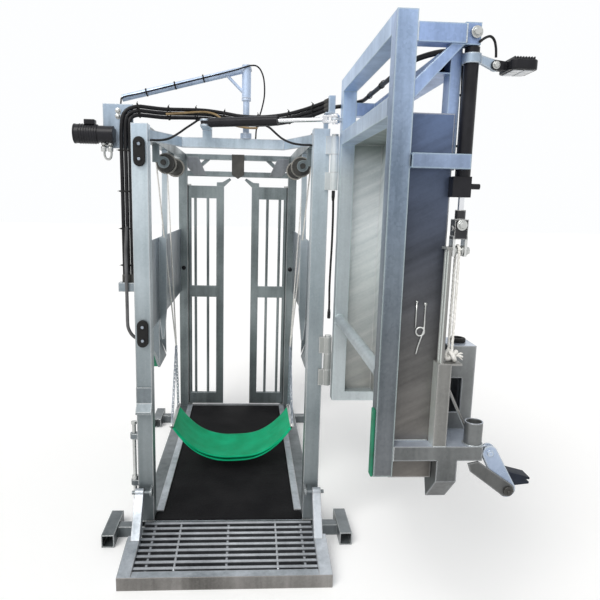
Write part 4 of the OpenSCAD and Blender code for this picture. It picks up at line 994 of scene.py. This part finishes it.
made = bmesh.new()
clip_line = in_xz(((0.684, 1.484), (0.684, 1.44))) + arc(CLIP_RING, CLIP_RING_R, 25, 385, 20)
clip_line += in_xz(((0.676, 1.366), (0.668, 1.34), (0.661, 1.308)))
add_tube(made, smooth_line([p + CLIP_Y for p in clip_line], 0.003), CLIP_WIRE, sides=10)
add_tube(made, [p + CLIP_Y for p in in_xz(((0.654, 1.398), (0.654, 1.49)))], CLIP_WIRE, sides=10)
add_lathe(made, (0.654, CLIP_Y.y, 1.484), UP, [(0.003, 0), (0.0046, 0.001), (0.0046, 0.006), (0.003, 0.007)])
add_lathe(made, (0.684, -1.0852, 1.48), NEAR, [(0.006, 0), (0.006, 0.004), (0.004, 0.006)])
new_piece("sheet_clip", made, zinc_plated, "rear_door", "leg_hook")


# Bolts, nuts and weld beads

GATE_BOLTS = [(-0.4285, 1.79, 1.268), (0.4285, 1.79, 1.268)]
GATE_BOLT = [(0.017, 0), (0.017, 0.003), (0.013, 0.008), (0.006, 0.0105)]
DOOR_BEADS = [
    [(0.591, -1.1405, 2.293), (0.591, -1.1405, 2.35)], [(0.591, -1.1405, 0.943), (0.591, -1.1405, 0.995)],
    [(0.725, -1.1405, 0.9955), (0.771, -1.1405, 0.9955)], [(0.7715, -1.14, 0.9955), (0.7715, -1.085, 0.9955)],
    [(0.741, -1.1402, 2.294), (0.741, -1.1402, 2.349)], [(0.59, -1.0855, 0.997), (0.72, -1.0855, 0.997)],
]
SOCKET_SEAM = Vector((0.875, -1.109, 0.996))
SOCKET_SEAM_R = 0.0325

made = bmesh.new()
for seat in GATE_BOLTS:
    add_lathe(made, seat, NEAR, GATE_BOLT)
new_piece("gate_post_bolts", made, black_paint, "chute")

made = bmesh.new()
add_bolt(made, (LEG.x, -1.1305, 2.329), NEAR, 0.0125)
new_piece("clevis_bolt", made, zinc_plated, "rear_door", smooth=False)

made = bmesh.new()
add_bolt(made, (LEG.x, -1.1255, 1.746), NEAR, 0.012)
for side in (-1, 1):
    add_bolt(made, (LEG.x + side * 0.0255, LEG.y, PULLEY_Z), (side, 0, 0), 0.013)
new_piece("shackle_bolts", made, zinc_plated, "leg_lift", smooth=False)

made = bmesh.new()
for ends in DOOR_BEADS:
    add_bead(made, ends)
seam = [SOCKET_SEAM + SOCKET_SEAM_R * Vector((c, s, 0)) for c, s in turns_of(24)]
add_bead(made, seam + seam[:1], 0.003)
new_piece("door_weld_beads", made, zinc, "rear_door")


# Motor and work light

MOTOR = Vector((-0.565, -0.010, 2.108))
MOTOR_FIN = [(0.0445, 0), (0.0472, 0.001), (0.0472, 0.004), (0.0445, 0.005)]
MOTOR_FINS = 7
MOTOR_CAP = [(0.045, 0), (0.0465, 0.002), (0.0465, 0.008), (0.04, 0.0085), (0.036, 0.006), (0.012, 0.006)]
PORT_NUT = [(0.013, 0), (0.013, 0.012), (0.009, 0.0125), (0.009, 0.02)]
PORT_PLUG = [(0.0125, 0), (0.0135, 0.002), (0.0135, 0.02), (0.011, 0.023)]
BOW_Y = 0.0275
BOW_PIN_Z = 2.062
LIGHT_PIVOT = Vector((0.850, -1.1, 2.240))
LIGHT_X = (0.882, 0.968)
LIGHT_Y = (-1.156, -1.044)
LIGHT_Z = (2.222, 2.252)
LIGHT_CORNER = 0.02
FIN_COUNT = 8
FIN_HALF = 0.0018
LUG_T = 0.006
LAMP_ROWS, LAMP_COLUMNS = 2, 3

made = bmesh.new()
for i in range(MOTOR_FINS):
    add_lathe(made, MOTOR + Vector((-0.084 - 0.012 * i, 0, 0)), LEFT, MOTOR_FIN, sides=36)
add_lathe(made, MOTOR + Vector((-0.178, 0, 0)), LEFT, MOTOR_CAP, sides=36)
add_block(made, MOTOR + Vector((-0.135, -0.026, 0.042)), MOTOR + Vector((-0.085, 0.02, 0.066)), 0.004)
new_piece("motor_shell", made, black_paint, "chute")

made = bmesh.new()
for x in (-0.018, -0.05):
    seat = MOTOR + Vector((x, 0, -0.038))
    add_lathe(made, seat, (0, 0, -1), PORT_NUT, sides=6)
    add_lathe(made, seat + Vector((0, 0, -0.02)), (0, 0, -1), PORT_PLUG)
bow = [Vector((-0.604 + 0.017 * cos(a), BOW_Y, 2.019 + 0.026 * sin(a)))
       for a in (pi * (1.0 + k / 10) for k in range(11))]
bow = [Vector((-0.621, BOW_Y, BOW_PIN_Z))] + bow + [Vector((-0.587, BOW_Y, BOW_PIN_Z))]
add_tube(made, smooth_line(bow, 0.004), 0.0055, sides=10)
add_tube(made, [Vector((x, BOW_Y, BOW_PIN_Z)) for x in (-0.63, -0.578)], 0.0065)
for z in (2.2, 2.225):
    add_bolt(made, (-0.552, 0.0345, z), NEAR, 0.01)
new_piece("motor_fittings", made, zinc_plated, "chute")


def rounded_rectangle(x, y, corner):
    """An outline in the XY plane with round corners."""
    outline = []
    for (cx, cy), start in (((x[1] - corner, y[1] - corner), 0), ((x[0] + corner, y[1] - corner), 90),
                            ((x[0] + corner, y[0] + corner), 180), ((x[1] - corner, y[0] + corner), 270)):
        outline += [Vector((cx + corner * cos(a), cy + corner * sin(a), 0))
                    for a in (radians(start + 15 * k) for k in range(7))]
    return outline


made = bmesh.new()
add_prism(made, rounded_rectangle(LIGHT_X, LIGHT_Y, LIGHT_CORNER), Vector((0, 0, LIGHT_Z[0])),
          Vector((0, 0, LIGHT_Z[1] - LIGHT_Z[0])), 0.004)
for i in range(FIN_COUNT):
    x = LIGHT_X[0] + 0.012 + (LIGHT_X[1] - LIGHT_X[0] - 0.024) * i / (FIN_COUNT - 1)
    add_block(made, (x - FIN_HALF, LIGHT_Y[0] + 0.01, LIGHT_Z[1] - 0.001),
              (x + FIN_HALF, LIGHT_Y[1] - 0.01, LIGHT_Z[1] + 0.009), 0.001)
lug = [(p.x, p.z) for p in arc(LIGHT_PIVOT, 0.015, 90, 270, 13)] + [(0.886, 2.226), (0.886, 2.251)]
for y in (-1.1125, -1.0935):
    add_plate(made, in_xz(lug), (y, y + LUG_T), 0.001)
new_piece("light_shell", made, black_paint, "work_light", "work_light", smooth=False)

made = bmesh.new()
add_lathe(made, LIGHT_PIVOT + Vector((0, -0.0135, 0)), (0, 1, 0), [(0.006, 0), (0.006, 0.027)])
for way in (-1, 1):
    add_bolt(made, LIGHT_PIVOT + Vector((0, way * 0.0125, 0)), (0, way, 0), 0.0085)
new_piece("light_pivot_bolt", made, zinc_plated, "work_light", smooth=False)

made = bmesh.new()
for row in range(LAMP_ROWS):
    for column in range(LAMP_COLUMNS):
        x = LIGHT_X[0] + 0.01 + 0.034 * row
        y = LIGHT_Y[0] + 0.012 + 0.03 * column
        add_block(made, (x, y, LIGHT_Z[0] - 0.003), (x + 0.031, y + 0.027, LIGHT_Z[0] + 0.001), 0.002)
new_piece("light_lens", made, lens_glass, "work_light")


# Rods in the grating, header plates, horns of the gate leaves and panel hangers

GRATE_LOW, GRATE_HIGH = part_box("ramp_grating")
GRATE_FRONT_Z = 0.066
ROD_D = 0.011
ROD_SINK = 0.004
HEADER_PLATE = [(0.398, 2.14), (0.31, 2.14), (0.245, 2.0), (0.34, 2.0), (0.398, 2.062)]
HEADER_Y = (1.7825, 1.7905)
LEAF_HORN = [(0.168, 1.915), (0.168, 1.95), (0.122, 1.953), (0.066, 1.985), (0.053, 1.971), (0.1115, 1.915)]
HORN_Y = (1.812, 1.832)
HANGER_BAR = [(0.412, 2.105), (0.446, 2.105), (0.452, 1.565), (0.418, 1.565)]
HANGER_Y = (0.746, 0.754)
HANGER_PLATE = [(0.4515, 1.585), (0.4515, 1.095), (0.438, 0.955), (0.424, 0.955), (0.404, 1.15), (0.404, 1.585)]
PLATE_Y = (0.6, 0.608)

made = bmesh.new()
for x in (-0.25, 0.25):
    rod = [Vector((x, GRATE_LOW.y + ROD_SINK, GRATE_FRONT_Z - ROD_SINK)),
           Vector((x, GRATE_HIGH.y - ROD_SINK, GRATE_HIGH.z - ROD_SINK))]
    add_tube(made, smooth_line(rod, 0.02), ROD_D / 2)
new_piece("grating_rods", made, zinc_rod, "ramp")

header_bm = bmesh.new()
hanger_bm = bmesh.new()
for side, hand in ((-1, "left"), (1, "right")):
    add_plate(header_bm, in_xz(HEADER_PLATE, side)[::-side], HEADER_Y, PLATE_BEVEL)
    horn_bm = bmesh.new()
    add_plate(horn_bm, in_xz(LEAF_HORN, side)[::-side], HORN_Y, PLATE_BEVEL)
    new_piece("leaf_horn_" + hand, horn_bm, zinc_gate, "gate_" + hand, smooth=False)
    add_plate(hanger_bm, in_xz(HANGER_BAR, side)[::side], HANGER_Y, PLATE_BEVEL)
    add_plate(hanger_bm, in_xz(HANGER_PLATE, side)[::side], PLATE_Y, PLATE_BEVEL)
new_piece("header_plates", header_bm, zinc_low, "chute", smooth=False)
new_piece("panel_hangers", hanger_bm, zinc_pale, "chute", smooth=False)


# Stage and light

FLOOR_HALF = 40.0
FLOOR_Z = -0.0005
FLOOR_GLOW = 0.14
AMBIENT = 0.5
SUN_ENERGY = 2.1
SUN_ANGLE = 0.6
SUN_HEADING = Vector((0.38, 0.62, -0.75))


def seen_directly(add):
    """1 on the rays that show the surroundings: camera, mirror and see-through rays."""
    path = add("LightPath").outputs
    value = path["Is Camera Ray"]
    for ray in ("Is Glossy Ray", "Is Transmission Ray"):
        value = combined(add, "Math", "MAXIMUM", value, path[ray])
    return value


def ranged(add, value, low, high):
    return add("MapRange", Value=value, **{"To Min": low, "To Max": high}).outputs["Result"]


floor_bm = bmesh.new()
floor_bm.faces.new([floor_bm.verts.new((FLOOR_HALF * x, FLOOR_HALF * y, FLOOR_Z))
                    for x, y in ((-1, -1), (1, -1), (1, 1), (-1, 1))])
floor_material, floor_add, floor_put = new_material("floor")
floor_put(Base_Color=(0.92, 0.92, 0.92, 1), Roughness=0.95, Emission_Color=(1, 1, 1, 1),
          Emission_Strength=ranged(floor_add, seen_directly(floor_add), 0, FLOOR_GLOW))
floor = new_piece("floor", floor_bm, floor_material, None, smooth=False)

sun_lamp = bpy.data.lights.new("sun", "SUN")
sun_lamp.energy = SUN_ENERGY
sun_lamp.angle = SUN_ANGLE
sun_lamp.color = (1.0, 0.985, 0.96)
sun = bpy.data.objects.new("sun", sun_lamp)
sun.rotation_euler = SUN_HEADING.to_track_quat("-Z", "Y").to_euler()
bpy.context.scene.collection.objects.link(sun)

world = bpy.data.worlds.new("studio")
world.use_nodes = True
bpy.context.scene.world = world
sky = world.node_tree.nodes["Background"]
world_add = adder(world.node_tree)
feed(sky.inputs["Color"], (0.985, 0.993, 1.0, 1))
feed(sky.inputs["Strength"], ranged(world_add, seen_directly(world_add), AMBIENT, 1.0))

bpy.context.scene.view_settings.view_transform = "Standard"
